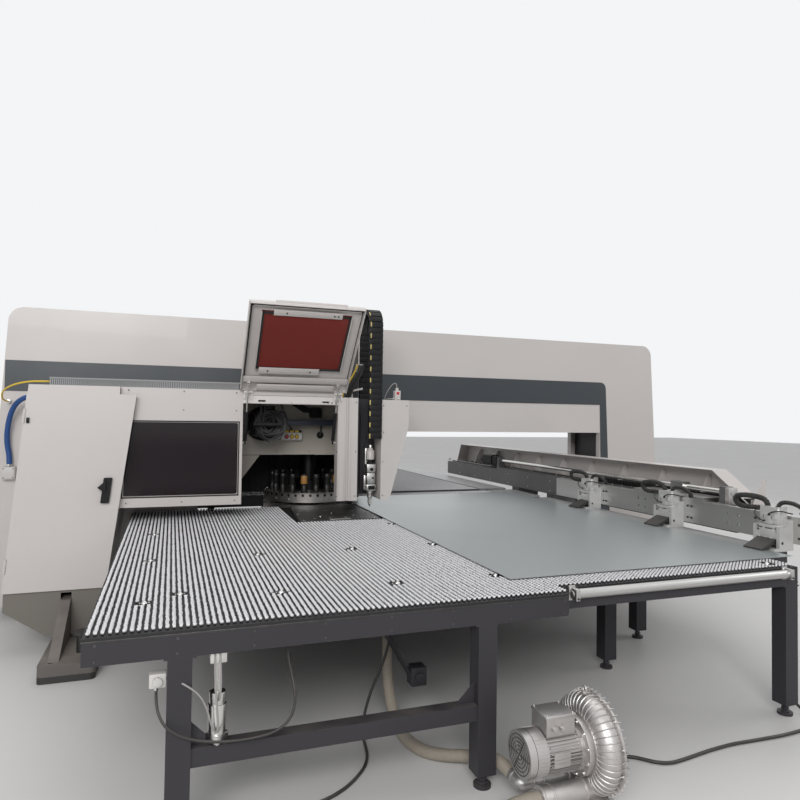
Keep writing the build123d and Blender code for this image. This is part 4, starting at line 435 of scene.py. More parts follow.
NODE_FINISHES = {
    CHARCOAL: ("frame_base_beam", "frame_columns", "frame_top_beam", "laser_recess", "table_frame"),
    WHITE: ("front_covers", "rear_covers", "end_covers", "cabinet_shell", "cabinet_door", "window_box",
        "ribbed_column", "tapered_cover", "hatch_frame", "beam_hood"),
    BAND: ("side_bands",),
    FOOT_GREY: ("frame_feet",),
    DARK_STEEL: ("levelling_feet", "service_fittings", "punch_holders", "clamp_jaws"),
    PLINTH_GREY: ("cabinet_plinth",),
    BLACK_PLASTIC: ("door_handle", "turret_motor", "laser_energy_chain", "gas_spring_barrels",
        "screw_motor", "clamp_chains"),
    DARK_PANE: ("window_pane",),
    LAMPLIT_BAY_WHITE: ("bay_panels",),
    BOX_WHITE: ("push_button_box",),
    RED: ("stop_button",),
    AMBER: ("left_button", "right_button"),
    STEEL: ("laser_head", "front_roller", "clamp_carriage"),
    RED_PANE: ("hatch_pane",),
    BRIGHT_STEEL: ("gas_spring_rods", "punch_ram", "ball_screw"),
    RING_STEEL: ("upper_turret", "lower_turret"),
    BED_BLACK: ("front_bed", "rear_bed"),
    BRISTLE: ("bed_brushes",),
    DIE_BLACK: ("die_plate",),
    SIDE_PLATE: ("plates_and_brackets",),
    BEAM_GREY: ("beam_body",),
    ALLOY: ("clamps",),
    SHEET_METAL: ("workpiece_sheet",),
    CASTING: ("blower_casing", "blower_motor"),
    HOSE_GREY: ("suction_hose", "outlet_hose"),
    CABLE_BLACK: ("blower_cable", "table_cable", "floor_cable"),
    YELLOW_CABLE: ("fibre_cable",),
    BLUE_HOSE: ("water_hose",),
}


def dress_nodes() -> None:
    """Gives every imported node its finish."""
    for finish, names in NODE_FINISHES.items():
        for name in names:
            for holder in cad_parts[name].material_slots:
                holder.material = finish.material()


class Shape:
    """A mesh in the making, shaped with bmesh operators."""

    def __init__(self) -> None:
        """Starts an empty mesh."""
        self.bm = bmesh.new()

    def join(self, other: "Shape", place: Matrix = Matrix.Identity(4)) -> "Shape":
        """Adds a copy of another shape at a place, and returns this shape."""
        return self.repeat(other, [place])

    def repeat(self, item: "Shape", places: list[Matrix]) -> "Shape":
        """Adds a copy of an item at each place.

        Args:
            item: the shape to copy.
            places: where the copies go.

        Returns:
            This shape.
        """
        mesh = bpy.data.meshes.new("copy")
        for place in places:
            item.bm.to_mesh(mesh)
            mesh.transform(place)
            self.bm.from_mesh(mesh)
        bpy.data.meshes.remove(mesh)
        return self

    def box(self, low: Point, high: Point, soft: float = 0.0) -> "Shape":
        """Adds a block.

        Args:
            low: lowest corner.
            high: highest corner.
            soft: how far its edges are rounded.

        Returns:
            This shape.
        """
        block = Shape()
        verts = bmesh.ops.create_cube(block.bm, size=1.0)["verts"]
        low_corner, high_corner = Vector(low), Vector(high)
        bmesh.ops.scale(block.bm, vec=high_corner - low_corner, verts=verts)
        if soft:
            bmesh.ops.bevel(block.bm, geom=block.bm.edges[:], offset=soft, segments=2, profile=0.5,
                affect="EDGES", material=-1)
        return self.join(block, at((low_corner + high_corner) / 2))

    def rod(self, start: Point, end: Point, radius: float, soft: float = 0.0, sides: int = 20,
            far: float = -1.0) -> "Shape":
        """Adds a round or faceted bar.

        Args:
            start: centre of one end.
            end: centre of the other end.
            radius: radius at the start.
            soft: how far the end edges are rounded.
            sides: number of sides.
            far: radius at the end, or below zero for the same.

        Returns:
            This shape.
        """
        bar = Shape()
        one, two = Vector(start), Vector(end)
        bmesh.ops.create_cone(bar.bm, cap_ends=True, cap_tris=False, segments=sides, radius1=radius,
            radius2=radius if far < 0 else far, depth=(two - one).length)
        if soft:
            rims = [edge for edge in bar.bm.edges if edge.calc_face_angle(0.0) > 1.0]
            bmesh.ops.bevel(bar.bm, geom=rims, offset=soft, segments=2, profile=0.5, affect="EDGES",
                material=-1)
        turn = (two - one).to_track_quat("Z", "Y").to_matrix().to_4x4()
        return self.join(bar, at((one + two) / 2) @ turn)

    def bar(self, x: Span, y: Span, z: Span, radius: float, soft: float = 0.0, sides: int = 20,
            far: float = -1.0) -> "Shape":
        """Adds a rod along the axis that is given by both of its ends, and returns this shape."""
        ends = [tuple(place[end] if isinstance(place, tuple) else place for place in (x, y, z)) for end in (0,
            1)]
        return self.rod(*ends, radius, soft, sides, far)

    def ring(self, centre: Point, axis: Point, major: float, minor: float, steps: int = 36,
            sides: int = 10) -> "Shape":
        """Adds a round ring.

        Args:
            centre: middle of the ring.
            axis: the direction through its hole.
            major: radius of its centreline.
            minor: radius of its section.
            steps: steps round the ring.
            sides: sides of the section.

        Returns:
            This shape.
        """
        ring = Shape()
        section = at((major, 0, 0)) @ Matrix.Rotation(pi / 2, 4, "X")
        bmesh.ops.create_circle(ring.bm, segments=sides, radius=minor, matrix=section)
        bmesh.ops.spin(ring.bm, geom=ring.bm.verts[:] + ring.bm.edges[:], cent=(0, 0, 0), axis=(0, 0, 1),
            angle=tau, steps=steps, use_merge=True)
        bmesh.ops.recalc_face_normals(ring.bm, faces=ring.bm.faces[:])
        turn = Vector(axis).to_track_quat("Z", "Y").to_matrix().to_4x4()
        return self.join(ring, at(centre) @ turn)

    def turned(self, profile: Spots, axis: Point, steps: int) -> "Shape":
        """Adds a profile spun round an axis through the origin, with its flat ends closed.

        Args:
            profile: distance along the axis and radius of each corner.
            axis: the direction of the axis, along X or Z.
            steps: steps round the axis.

        Returns:
            This shape.
        """
        lying = axis[0] > 0
        knots = [self.bm.verts.new((along, 0, radius) if lying else (radius, 0, along)) for along,
            radius in profile]
        edges = [self.bm.edges.new(pair) for pair in zip(knots, knots[1:])]
        bmesh.ops.spin(self.bm, geom=knots + edges, cent=(0, 0, 0), axis=axis, angle=tau, steps=steps,
            use_merge=True)
        return self

    def prism(self, corners: list[Point], along: Point) -> "Shape":
        """Adds a flat outline drawn out into a solid.

        Args:
            corners: the outline's corners.
            along: the direction and depth.

        Returns:
            This shape.
        """
        solid = Shape()
        face = solid.bm.faces.new([solid.bm.verts.new(corner) for corner in corners])
        made = bmesh.ops.extrude_face_region(solid.bm, geom=[face])["geom"]
        moved = [item for item in made if isinstance(item, bmesh.types.BMVert)]
        bmesh.ops.translate(solid.bm, vec=along, verts=moved)
        bmesh.ops.recalc_face_normals(solid.bm, faces=solid.bm.faces[:])
        return self.join(solid)

    def hose(self, points: list[Point], radius: float) -> "Shape":
        """Adds a smooth fixed wire or pipe.

        Args:
            points: control points of its line.
            radius: half its thickness.

        Returns:
            This shape.
        """
        line = smooth_line("pipe", points, radius, 2, 6)
        mesh = baked(line)
        self.bm.from_mesh(mesh)
        bpy.data.meshes.remove(mesh)
        bpy.data.objects.remove(line)
        return self

    def ribbed(self, points: list[Point], radius: float) -> "Shape":
        """Adds a fixed corrugated line.

        Args:
            points: control points of its line.
            radius: radius over the ribs.

        Returns:
            This shape.
        """
        self.hose(points, radius * 0.84)
        line = smooth_line("guide", points, 0.0, steps=16)
        path = line_points(line)
        bpy.data.objects.remove(line)
        gone = 0.0
        for before, after in zip(path, path[1:]):
            gone += (after - before).length
            if gone > radius * 0.75:
                gone = 0.0
                self.ring(after, after - before, radius * 0.84, radius * 0.16, 14, 6)
        return self

    def piece(self, name: str, finish: Finish, body: str = "machine", stands_for: str = "") -> Item:
        """Makes the shape an object that rides on a body.

        Args:
            name: the piece's name.
            finish: its finish.
            body: the body that it rides on.
            stands_for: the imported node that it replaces, if any.

        Returns:
            The object.
        """
        mesh = bpy.data.meshes.new(name)
        self.bm.to_mesh(mesh)
        self.bm.free()
        mesh.shade_smooth()
        mesh.set_sharp_from_angle(angle=radians(38))
        mesh.materials.append(finish.material())
        item = linked(name, mesh)
        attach(item, body)
        if stands_for:
            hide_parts(stands_for)
        LOG.info("%s: %d faces", name, len(mesh.polygons))
        return item


def at(place: Point) -> Matrix:
    """The move from the origin to a place."""
    return Matrix.Translation(place)


def turns(count: int, shift: float = 0.0) -> list[float]:
    """Equal angles all round, moved on by a share of a step."""
    return [tau * (index + shift) / count for index in range(count)]


def linked(name: str, data: bpy.types.ID) -> Item:
    """A new object of the scene.

    Args:
        name: the object's name.
        data: its mesh or curve.

    Returns:
        The object.
    """
    item = bpy.data.objects.new(name, data)
    bpy.context.scene.collection.objects.link(item)
    return item


def baked(item: Item) -> bpy.types.Mesh:
    """The mesh of an object as its modifiers or its spline give it."""
    return bpy.data.meshes.new_from_object(item.evaluated_get(bpy.context.evaluated_depsgraph_get()))


def line_points(line: Item) -> list[Vector]:
    """The points that a bare line runs through.

    Args:
        line: a curve object without thickness.

    Returns:
        The points in order.
    """
    bare = baked(line)
    points = [vertex.co.copy() for vertex in bare.vertices]
    bpy.data.meshes.remove(bare)
    return points


def smooth_line(name: str, points: list[Point], radius: float, roundness: int = 4, steps: int = 12) -> Item:
    """A curve object of one smooth open spline.

    Args:
        name: the object's name.
        points: control points.
        radius: half the thickness, or 0 for a bare line.
        roundness: fineness of the section.
        steps: steps between control points.

    Returns:
        The curve object.
    """
    data = bpy.data.curves.new(name, "CURVE")
    data.dimensions = "3D"
    data.resolution_u = steps
    data.bevel_depth = radius
    data.bevel_resolution = roundness
    data.use_fill_caps = radius > 0
    spline = data.splines.new("NURBS")
    spline.points.add(len(points) - 1)
    for knot, point in zip(spline.points, points):
        knot.co = (*point, 1.0)
    spline.order_u = 3
    spline.use_endpoint_u = True
    return linked(name, data)


def hex_screw(radius: float, height: float) -> Shape:
    """A hexagon head on its washer, standing on the origin along Z."""
    return Shape().bar(0, 0, (0, height * 0.2), radius * 1.35).bar(0, 0, (height * 0.2, height), radius,
        sides=6, soft=radius * 0.12)


def cap_screw(radius: float, height: float) -> Shape:
    """A round screw head with a sunk drive, standing on the origin along Z."""
    head = Shape().bar(0, 0, (0, height), radius, sides=14, soft=radius * 0.15)
    head.bm.faces.ensure_lookup_table()
    top = max(head.bm.faces, key=lambda face: face.calc_center_median().z)
    bmesh.ops.inset_region(head.bm, faces=[top], thickness=radius * 0.45)
    bmesh.ops.translate(head.bm, vec=(0, 0, -height * 0.5), verts=top.verts[:])
    return head


FRONT = Matrix.Rotation(pi / 2, 4, "X")
REAR = Matrix.Rotation(-pi / 2, 4, "X")
LEFT = Matrix.Rotation(-pi / 2, 4, "Y")


def screws(places: list[Point], turn: Matrix, radius: float = 0.005, height: float = 0.004) -> Shape:
    """One shape with cap screws at all places, turned from standing upwards to the face's direction."""
    return Shape().repeat(cap_screw(radius, height), [at(place) @ turn for place in places])


RIB_PITCH = 0.0085
RIB_DEPTH = 0.0022


@dataclass
class Cord:
    """One free cable or hose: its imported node, thickness, real length, finish, far end, lie and route."""

    name: str
    diameter: float
    length: float
    finish: Finish
    far_end: str
    stiffness: str
    lay: str
    route: Route

    def declare(self, line: Item) -> None:
        """Attaches the line to the machine's body and hides the imported node that it stands for.

        Args:
            line: the curve or the mesh tube.
        """
        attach(line, "machine")
        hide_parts(self.name)

    def smooth(self, fitted: tuple[Item, ...] = ()) -> None:
        """Lays it as a smooth cable.

        Args:
            fitted: separate pieces on it; not used.
        """
        line = smooth_line(f"{self.name}_line", list(self.route), self.diameter / 2)
        line.data.materials.append(self.finish.material())
        self.declare(line)

    def ribbed(self, fitted: tuple[Item, ...] = ()) -> None:
        """Lays it as a corrugated hose.

        Args:
            fitted: separate pieces on it; not used.
        """
        line = smooth_line("guide", list(self.route), 0.0, steps=24)
        path = line_points(line)
        reach = sum((after - before).length for before, after in zip(path, path[1:]))
        tube = Shape()
        count = round(reach / RIB_PITCH)
        pitch = reach / count
        crest, root = self.diameter / 2, self.diameter / 2 - RIB_DEPTH
        rib = ((0.22, root), (0.4, crest), (0.75, crest), (0.93, root))
        section = [(0.0, root)]
        for index in range(count):
            section += [((index + share) * pitch, radius) for share, radius in rib]
        section.append((reach, root))
        knots = [tube.bm.verts.new((along, 0.0, radius)) for along, radius in section]
        edges = [tube.bm.edges.new(pair) for pair in zip(knots, knots[1:])]
        bmesh.ops.spin(tube.bm, geom=knots + edges, cent=(0, 0, 0), axis=(1, 0, 0), angle=tau, steps=20,
            use_merge=True)
        bmesh.ops.holes_fill(tube.bm, edges=[edge for edge in tube.bm.edges if edge.is_boundary], sides=0)
        bmesh.ops.recalc_face_normals(tube.bm, faces=tube.bm.faces[:])
        straight = tube.piece("straight", self.finish)
        bend = straight.modifiers.new("bend", "CURVE")
        bend.object = line
        bend.deform_axis = "POS_X"
        hose = linked(f"{self.name}_wall", baked(straight))
        bpy.data.objects.remove(straight)
        bpy.data.objects.remove(line)
        self.declare(hose)


CORDS = (
    Cord("blower_cable", 0.016, 2.41, CABLE_BLACK, "object", "medium", "loose", (
        (-0.145, -3.33, 0.04), (-0.085, -3.33, 0.04), (-0.02, -3.316, 0.03), (0.044, -3.272, 0.015),
        (0.104, -3.218, 0.011), (0.166, -3.204, 0.011), (0.222, -3.24, 0.012), (0.268, -3.296, 0.012),
        (0.33, -3.326, 0.011), (0.405, -3.322, 0.012), (0.485, -3.31, 0.011), (0.57, -3.298, 0.012),
        (0.66, -3.288, 0.011), (0.755, -3.284, 0.012), (0.855, -3.288, 0.011), (0.955, -3.294, 0.012),
        (1.055, -3.296, 0.011), (1.15, -3.294, 0.012), (1.24, -3.284, 0.011), (1.322, -3.256, 0.012),
        (1.384, -3.206, 0.012), (1.408, -3.144, 0.016), (1.4, -3.086, 0.044), (1.372, -3.05, 0.1),
        (1.342, -3.036, 0.19), (1.326, -3.033, 0.32), (1.323, -3.034, 0.5), (1.323, -3.034, 0.695))),
    Cord("table_cable", 0.01, 0.9, CABLE_BLACK, "object", "medium", "hanging", (
        (-1.869, -3.2, 0.585), (-1.869, -3.2, 0.552), (-1.863, -3.234, 0.512), (-1.84, -3.26, 0.47),
        (-1.796, -3.268, 0.434), (-1.74, -3.268, 0.408), (-1.672, -3.267, 0.391), (-1.596, -3.266, 0.383),
        (-1.518, -3.265, 0.383), (-1.448, -3.264, 0.393), (-1.4, -3.26, 0.422), (-1.376, -3.25, 0.466),
        (-1.372, -3.232, 0.515), (-1.378, -3.205, 0.56), (-1.384, -3.168, 0.6), (-1.386, -3.14, 0.645),
        (-1.386, -3.13, 0.695))),
    Cord("floor_cable", 0.014, 1.56, CABLE_BLACK, "connector", "medium", "loose", (
        (-0.76, -2.6, 0.781), (-0.76, -2.6, 0.66), (-0.764, -2.598, 0.54), (-0.778, -2.6, 0.43),
        (-0.814, -2.606, 0.325), (-0.864, -2.606, 0.226), (-0.896, -2.604, 0.13), (-0.912, -2.606, 0.056),
        (-0.926, -2.64, 0.014), (-0.934, -2.7, 0.011), (-0.944, -2.77, 0.011), (-0.96, -2.845, 0.011),
        (-0.992, -2.915, 0.011), (-1.04, -2.975, 0.011), (-1.098, -3.034, 0.011), (-1.165, -3.08, 0.011),
        (-1.24, -3.112, 0.011), (-1.32, -3.128, 0.011), (-1.4, -3.126, 0.011))),
    Cord("fibre_cable", 0.012, 0.75, YELLOW_CABLE, "object", "stiff", "hanging", (
        (-2.64, -0.68, 1.785), (-2.7, -0.68, 1.785), (-2.762, -0.676, 1.782), (-2.822, -0.66, 1.772),
        (-2.88, -0.624, 1.756), (-2.93, -0.568, 1.736), (-2.966, -0.5, 1.712), (-2.988, -0.425, 1.686),
        (-2.998, -0.345, 1.662), (-3.0, -0.26, 1.65), (-3.0, -0.165, 1.65))),
    Cord("water_hose", 0.038, 0.73, BLUE_HOSE, "object", "stiff", "hanging", (
        (-2.7223, -0.3, 1.69), (-2.775, -0.3, 1.69), (-2.83, -0.292, 1.688), (-2.882, -0.276, 1.672),
        (-2.926, -0.252, 1.64), (-2.958, -0.226, 1.592), (-2.98, -0.204, 1.53), (-2.994, -0.186, 1.46),
        (-3.001, -0.172, 1.385), (-2.998, -0.16, 1.31), (-2.983, -0.155, 1.236), (-2.983, -0.155, 1.158))),
    Cord("suction_hose", 0.056, 1.48, HOSE_GREY, "object", "medium", "loose", (
        (-0.466, -3.305, 0.088), (-0.466, -3.16, 0.088), (-0.525, -3.05, 0.046), (-0.68, -2.955, 0.03),
        (-0.745, -2.84, 0.029), (-0.749, -2.665, 0.032), (-0.745, -2.545, 0.098), (-0.747, -2.478, 0.221),
        (-0.744, -2.473, 0.44), (-0.744, -2.473, 0.695))),
    Cord("outlet_hose", 0.056, 0.418, HOSE_GREY, "fitting", "medium", "loose", (
        (-0.455, -3.481, 0.088), (-0.53, -3.481, 0.088), (-0.61, -3.478, 0.066), (-0.695, -3.47, 0.04),
        (-0.78, -3.458, 0.031), (-0.865, -3.446, 0.03))),
)


class Cords:
    """The cables and hoses that hang and lie free."""

    def floor_plug(self) -> Item:
        """Makes the connector on the floor cable's far end."""
        plug = Shape().rod((-1.388, -3.1262, 0.011), (-1.404, -3.126, 0.0118), 0.0075, 0.001, far=0.0105)
        plug.rod((-1.404, -3.126, 0.0124), (-1.446, -3.125, 0.0124), 0.0123, 0.0015)
        plug.rod((-1.446, -3.125, 0.0124), (-1.462, -3.1247, 0.0124), 0.0108, 0.001)
        for index in range(5):
            plug.ring((-1.409 - index * 0.0045, -3.126, 0.0128), (1, 0, 0), 0.0118, 0.0009, 24, 6)
        return plug.piece("floor_plug", BLACK_PLASTIC)

    def outlet_cuff(self) -> Item:
        """Makes the cuff on the outlet hose's far end."""
        cuff = Shape().rod((-0.838, -3.4495, 0.0325), (-0.874, -3.4455, 0.0325), 0.0315, 0.002)
        cuff.rod((-0.874, -3.4455, 0.0325), (-0.886, -3.4442, 0.0325), 0.029, 0.002)
        return cuff.piece("outlet_cuff", BLACK_PLASTIC)

    def build(self) -> None:
        """Lays all of them."""
        fitted = {"floor_cable": self.floor_plug, "outlet_hose": self.outlet_cuff}
        for cord in CORDS:
            lay = cord.ribbed if cord.finish is HOSE_GREY else cord.smooth
            lay((fitted[cord.name](),) if cord.name in fitted else ())


@dataclass
class BrushBeds:
    """White bristle tufts on the black beds, with ball units among them."""

    left: float = -2.1015
    right: float = 1.343
    pitch: float = 0.0235
    step: float = 0.0195
    foot: float = 0.793
    tip: float = 0.808
    thickness: float = 0.0142
    flatness: float = 0.72
    low_front: float = -3.23
    high_front: float = -3.14
    fascia_end: float = -0.155
    slot_front: float = -0.272
    slot_back: float = 0.592
    back: float = 3.625
    plate_x: tuple[float, float] = (-0.979, -0.252)
    plate_back: float = -1.095
    seam: tuple[float, float] = (-0.927, -0.903)
    throat: tuple[float, float] = (-0.102, 0.422)
    throat_left: float = -0.14
    unit_radius: float = 0.031
    units: Spots = (
        *((x, y) for y in (-2.1, -2.89, 1.4, 2.6) for x in (-1.925, -1.376, -0.842, -0.335)),
        (-1.925, -1.335), (-1.376, -1.335), (-0.335, -1.335), (-1.788, -2.794), (1.209, -3.085), (0.5, 1.4),
        (0.5, 2.6))

    def spans(self, x: float, rear: bool) -> list[tuple[float, float]]:
        """The stretches of one row of tufts.

        Args:
            x: left side of the row.
            rear: true for the rear bed.

        Returns:
            Start and end of each stretch.
        """
        if rear:
            return [(self.slot_back, self.back)]
        front = self.low_front if x < self.fascia_end else self.high_front
        if self.plate_x[0] < x < self.plate_x[1]:
            return [(front, self.plate_back)]
        spans = [(front, self.seam[0]), (self.seam[1], self.slot_front)]
        if x > self.throat_left:
            spans.append(self.throat)
        return spans

    def is_free(self, x: float, y: float) -> bool:
        """Whether a tuft fits here, clear of every ball unit."""
        return all(hypot(x - spot[0], y - spot[1]) > self.unit_radius + 0.006 for spot in self.units)

    def tuft(self) -> Shape:
        """One flared tuft, standing on the origin."""
        return Shape().bar(0, 0, (0, self.tip - self.foot), self.thickness * 0.38, sides=4,
            far=self.thickness * 0.54)

    def rows(self, name: str, indexes: range, rear: bool) -> None:
        """Plants the tufts of some rows.

        Args:
            name: the piece's name.
            indexes: the rows.
            rear: true for the rear bed.
        """
        draw = random.Random(len(name) + indexes.start)
        bed = Shape()
        tuft = self.tuft()
        half = self.thickness / 2
        flat = Matrix.Diagonal((1.0, self.flatness, 1.0, 1.0))
        for index in indexes:
            x = self.left + index * self.pitch
            places = []
            for start, end in self.spans(x, rear):
                count = int((end - start - 2 * half) // self.step) + 1
                for number in range(count):
                    y = start + half + number * self.step
                    if self.is_free(x + half, y):
                        turn = Matrix.Rotation(draw.uniform(0, tau), 4, "Z")
                        shift = Vector((x + half + draw.uniform(-0.0008, 0.0008), y, self.foot))
                        places.append(at(shift) @ flat @ turn)
            row = Shape().repeat(tuft, places)
            bed.join(row)
            row.bm.free()
        tuft.bm.free()
        bed.piece(name, BRISTLE, stands_for="bed_brushes")

    def ball_units(self) -> None:
        """Sets the ball units, each with a ball in a flange and four screws."""
        flange = Shape().bar(0, 0, (0, 0.004), self.unit_radius, sides=32, soft=0.001)
        flange.bar(0, 0, (0.004, 0.01), 0.019, 0.001, 28, 0.016)
        metal = Shape()
        bmesh.ops.create_uvsphere(metal.bm, u_segments=20, v_segments=12, radius=0.0125,
            matrix=at((0, 0, 0.0065)))
        head = cap_screw(0.0042, 0.003)
        for angle in turns(4, 0.5):
            metal.join(head, at((0.0245 * cos(angle), 0.0245 * sin(angle), 0.004)))
        places = [at((x, y, self.foot)) for x, y in self.units]
        Shape().repeat(flange, places).piece("ball_unit_flanges", BLACK_PLASTIC)
        Shape().repeat(metal, places).piece("ball_unit_balls", BRIGHT_STEEL)

    def build(self) -> None:
        """Plants both beds."""
        last = int((self.right - self.left - self.thickness) // self.pitch) + 1
        cuts = (0, last // 4, last // 2, 3 * last // 4, last)
        for side in ("front", "rear"):
            for number, (start, end) in enumerate(zip(cuts, cuts[1:]), 1):
                self.rows(f"{side}_tufts_{number}", range(start, end), side == "rear")
        self.ball_units()


@dataclass
class EnergyChain:
    """The cable chain that arches over the laser head."""

    left: float = -0.4
    right: float = -0.298
    front: float = -0.965
    back: float = -0.655
    thickness: float = 0.034
    top: float = 2.426
    foot: float = 1.4
    tail: float = 1.715
    pitch: float = 0.0425

    def links(self) -> list[Matrix]:
        """Where each link sits along the arch.

        Returns:
            A matrix for each link, whose Z runs along the arch and whose Y points inwards.
        """
        radius = (self.back - self.front) / 2
        middle = radius - self.thickness / 2
        centre_y = (self.front + self.back) / 2
        spring = self.top - radius
        rise, bend, fall = spring - self.foot, pi * middle, spring - self.tail
        count = int((rise + bend + fall) // self.pitch)
        places = []
        for index in range(count):
            along = (index + 0.5) * (rise + bend + fall) / count
            if along < rise:
                angle, height = 0.0, self.foot + along - spring
            elif along < rise + bend:
                angle, height = (along - rise) / middle, 0.0
            else:
                angle, height = pi, -(along - rise - bend)
            y = centre_y - middle * cos(angle)
            z = spring + middle * sin(angle) + height
            places.append(at((0, y, z)) @ Matrix.Rotation(-angle, 4, "X"))
        return places

    def link(self) -> Shape:
        """One link with its two cheeks and two crossbars, centred on the origin."""
        half, deep = self.pitch / 2, self.thickness / 2
        link = Shape()
        for side, inward in ((self.left, 1), (self.right, -1)):
            outer = sorted((side, side + inward * 0.004))
            inner = sorted((side + inward * 0.004, side + inward * 0.008))
            link.box((outer[0], -deep, -half + 0.006), (outer[1], deep, half + 0.004), 0.0015)
            link.box((inner[0], -deep + 0.003, -half - 0.004), (inner[1], deep - 0.003, half - 0.006), 0.001)
            link.bar((side, side + inward * 0.0015), 0, half - 0.004, 0.0075, sides=14)
        for depth in (-deep, deep - 0.004):
            link.box((self.left + 0.006, depth, -half + 0.0005), (self.right - 0.006, depth + 0.004,
                half - 0.0005), 0.0012)
        return link

    def build(self) -> None:
        """Makes the links, the lines inside and the tabs on the left cheeks."""
        places = self.links()
        chain = Shape().repeat(self.link(), places)
        chain.piece("laser_chain_links", BLACK_PLASTIC, stands_for="laser_energy_chain")
        path = [place @ Vector((0, 0, 0)) for place in places]
        lines = Shape()
        for x, radius in ((-0.38, 0.009), (-0.357, 0.01), (-0.334, 0.009), (-0.314, 0.007)):
            lines.hose([(x, point.y, point.z) for point in path[::3] + path[-1:]], radius)
        lines.piece("laser_chain_lines", RUBBER)
        tab = Shape().box((self.left - 0.001, -self.thickness / 2 - 0.0015, -0.018),
            (self.left + 0.008, -self.thickness / 2 + 0.001, 0.018), 0.0006)
        Shape().repeat(tab, places[:-8:2]).piece("laser_chain_tabs", TAB_YELLOW)


@dataclass
class Hatch:
    """Rims, strips, gasket and handle of the propped hatch, drawn closed and then swung open."""

    left: float = -1.38
    right: float = -0.59
    far: float = -0.768
    near: float = -0.014
    hinge_y: float = -0.958
    hinge_z: float = 1.738
    swing: float = radians(-138)

    def swung(self, shape: Shape) -> Shape:
        """The shape turned from closed to open."""
        place = at((0, self.hinge_y, self.hinge_z)) @ Matrix.Rotation(self.swing, 4, "X")
        return Shape().join(shape, place)

    def rims(self) -> Shape:
        """The folded rims round the inner face and the folds at the pane."""
        rims = Shape()
        rims.box((self.left + 0.001, 0.0, self.far + 0.001), (self.left + 0.006, 0.0135, self.near - 0.004),
            0.001)
        rims.box((self.right - 0.006, 0.0, self.far + 0.001), (self.right - 0.001, 0.0135, self.near - 0.004),
            0.001)
        rims.box((self.left + 0.001, 0.0, self.far + 0.001), (self.right - 0.001, 0.0135, self.far + 0.006),
            0.001)
        rims.box((self.left + 0.03, 0.0, self.far + 0.022), (self.right - 0.03, 0.004, self.far + 0.026),
            0.001)
        rims.box((self.left + 0.112, 0.0, -0.082), (self.right - 0.112, 0.0125, -0.03), 0.003)
        rims.box((self.left + 0.012, 0.0, -0.15), (self.right - 0.012, 0.004, -0.096), 0.0015)
        for side in (-1.297, -0.679):
            rims.box((side, 0.0, -0.7), (side + 0.006, 0.006, -0.215), 0.001)
        return rims

    def strips(self) -> Shape:
        """The strips that hold the pane, and the bar handle on its two posts."""
        strips = Shape()
        strips.box((-1.215, 0.001, -0.722), (-0.745, 0.0065, -0.676), 0.0015)
        strips.box((-1.268, 0.001, -0.234), (-0.835, 0.0065, -0.18), 0.0015)
        strips.bar((-1.205, -0.718), -0.028, -0.7665, 0.0095, 0.002)
        for x in (-1.172, -0.751):
            strips.rod((x, -0.028, -0.7665), (x, -0.002, -0.752), 0.006)
        return strips

    def build(self) -> None:
        """Makes the pieces that swing, and the fixed strip behind the hinge."""
        self.swung(self.rims()).piece("hatch_rims", WHITE, "hatch")
        self.swung(self.strips()).piece("hatch_strips", WHITE, "hatch")
        gasket = Shape()
        for left, right, low, high, back in ((-1.291, -1.276, -0.696, -0.222, 0.003),
                (-0.694, -0.679, -0.696, -0.222, 0.003), (-1.291, -0.679, -0.701, -0.684, 0.003),
                (-1.291, -0.679, -0.236, -0.219, 0.003), (-1.368, -0.604, -0.752, -0.741, 0.002),
                (-1.368, -1.359, -0.752, -0.1, 0.002), (-0.612, -0.606, -0.752, -0.1, 0.002)):
            gasket.box((left, 0.0004, low), (right, back, high))
        self.swung(gasket).piece("hatch_gasket", RUBBER, "hatch")
        heads = screws([(-1.128, 0.0065, -0.699), (-0.802, 0.0065, -0.699), (-0.775, 0.0065, -0.699),
            (-1.205, 0.0065, -0.206), (-0.9, 0.0065, -0.206)], REAR, 0.0065, 0.003)
        self.swung(heads).piece("hatch_screws", DARK_STEEL, "hatch")
        leaf = Shape().box((-1.348, -0.9475, 1.716), (-0.622, -0.9405, 1.786), 0.0015)
        for x in (-1.3, -0.985, -0.67):
            leaf.bar((x - 0.03, x + 0.03), -0.951, 1.744, 0.0045, sides=12)
        leaf.piece("hatch_hinge_leaf", WHITE)


